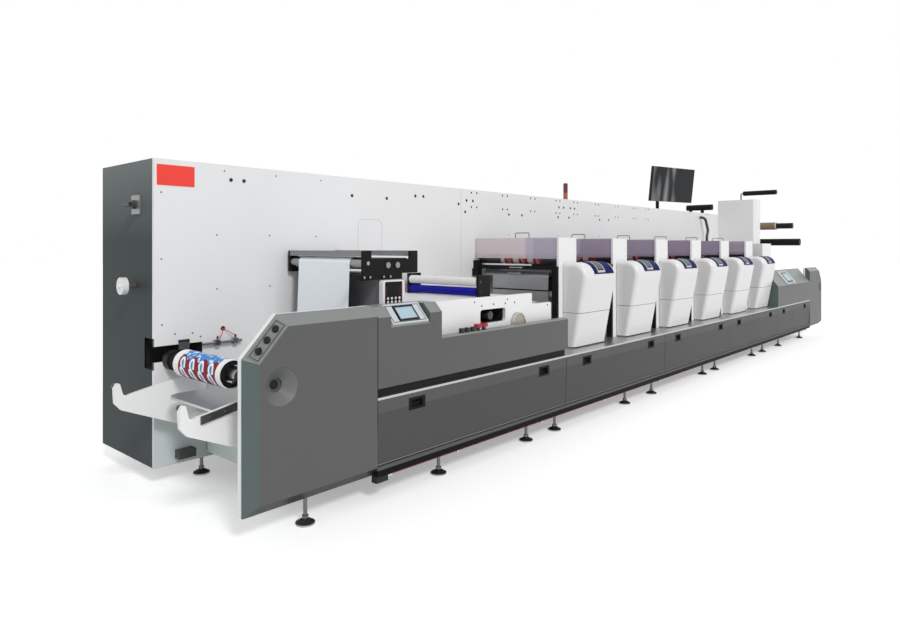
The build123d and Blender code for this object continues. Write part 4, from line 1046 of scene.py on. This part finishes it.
def ray_kinds(nodes, links):
    """Mask that is 1 for what the camera sees, straight or by gloss or glass."""
    path = nodes.new("ShaderNodeLightPath")
    mask = path.outputs["Is Camera Ray"]
    for kind in ("Is Glossy Ray", "Is Transmission Ray"):
        either = nodes.new("ShaderNodeMath")
        either.operation = "MAXIMUM"
        links.new(mask, either.inputs[0])
        links.new(path.outputs[kind], either.inputs[1])
        mask = either.outputs[0]
    return mask


def make_floor():
    """White floor that keeps the soft shadow of the press."""
    floor_half = 60
    lift = 0.36
    paint = Paint("floor_finish", rgb(236, 236, 236), 0.7, mottle=0.01, patch=2.0)
    paint.done()
    nodes, links = paint.nodes, paint.links
    glow = nodes.new("ShaderNodeEmission")
    strength = nodes.new("ShaderNodeMath")
    strength.operation = "MULTIPLY"
    strength.inputs[1].default_value = lift
    links.new(ray_kinds(nodes, links), strength.inputs[0])
    links.new(strength.outputs[0], glow.inputs["Strength"])
    both = nodes.new("ShaderNodeAddShader")
    links.new(paint.shader.outputs[0], both.inputs[0])
    links.new(glow.outputs[0], both.inputs[1])
    links.new(both.outputs[0], nodes["Material Output"].inputs["Surface"])
    mesh = bpy.data.meshes.new("floor")
    mesh.from_pydata([(-floor_half, -floor_half, 0), (floor_half, -floor_half, 0),
                      (floor_half, floor_half, 0), (-floor_half, floor_half, 0)], [], [(0, 1, 2, 3)])
    mesh.materials.append(paint.material)
    floor = bpy.data.objects.new("floor", mesh)
    bpy.context.collection.objects.link(floor)


def make_sky():
    """Even daylight on the part, and plain white for the camera."""
    world = bpy.data.worlds.new("studio")
    bpy.context.scene.world = world
    world.use_nodes = True
    nodes = world.node_tree.nodes
    links = world.node_tree.links
    back = nodes["Background"]
    back.inputs["Color"].default_value = (0.97, 0.98, 1.0, 1)
    back.inputs["Strength"].default_value = 0.62
    white = nodes.new("ShaderNodeBackground")
    white.inputs["Color"].default_value = (1, 1, 1, 1)
    white.inputs["Strength"].default_value = 1.0
    mix = nodes.new("ShaderNodeMixShader")
    links.new(ray_kinds(nodes, links), mix.inputs[0])
    links.new(back.outputs[0], mix.inputs[1])
    links.new(white.outputs[0], mix.inputs[2])
    links.new(mix.outputs[0], nodes["World Output"].inputs["Surface"])


def make_sun():
    """One soft main light from the operator's side, above and to the left."""
    data = bpy.data.lights.new("key", "SUN")
    data.energy = 1.5
    data.angle = math.radians(12)
    lamp = bpy.data.objects.new("key", data)
    towards = Vector((0.35, 1.0, -0.9))
    lamp.rotation_euler = towards.to_track_quat("-Z", "Y").to_euler()
    bpy.context.collection.objects.link(lamp)


bpy.context.scene.view_settings.view_transform = "Standard"
make_camera()
make_floor()
make_sky()
make_sun()

white_metal()
wall_paint()
grey_metal()
door_paint()
end_paint()
bright_metal()
black_metal()
rubber_and_cord()
glass()
steel_frames()
feet()
shafts()
wall_pieces()
web_section()
panels()
consoles()
console_strips()
web_sheet()
printed_roll()
rewind_core()
print_rollers()
monitor_face()
signal_lenses()
controller()
push_buttons()
end_pieces()
red_plate()
plugs()
air_tubes()
cord_eyes()
dark_screw = small_material("screw_dark", rgb(60, 60, 62), 0.4)
plate_screws(dark_screw)
pane_screws()
base_end_plate(dark_screw)
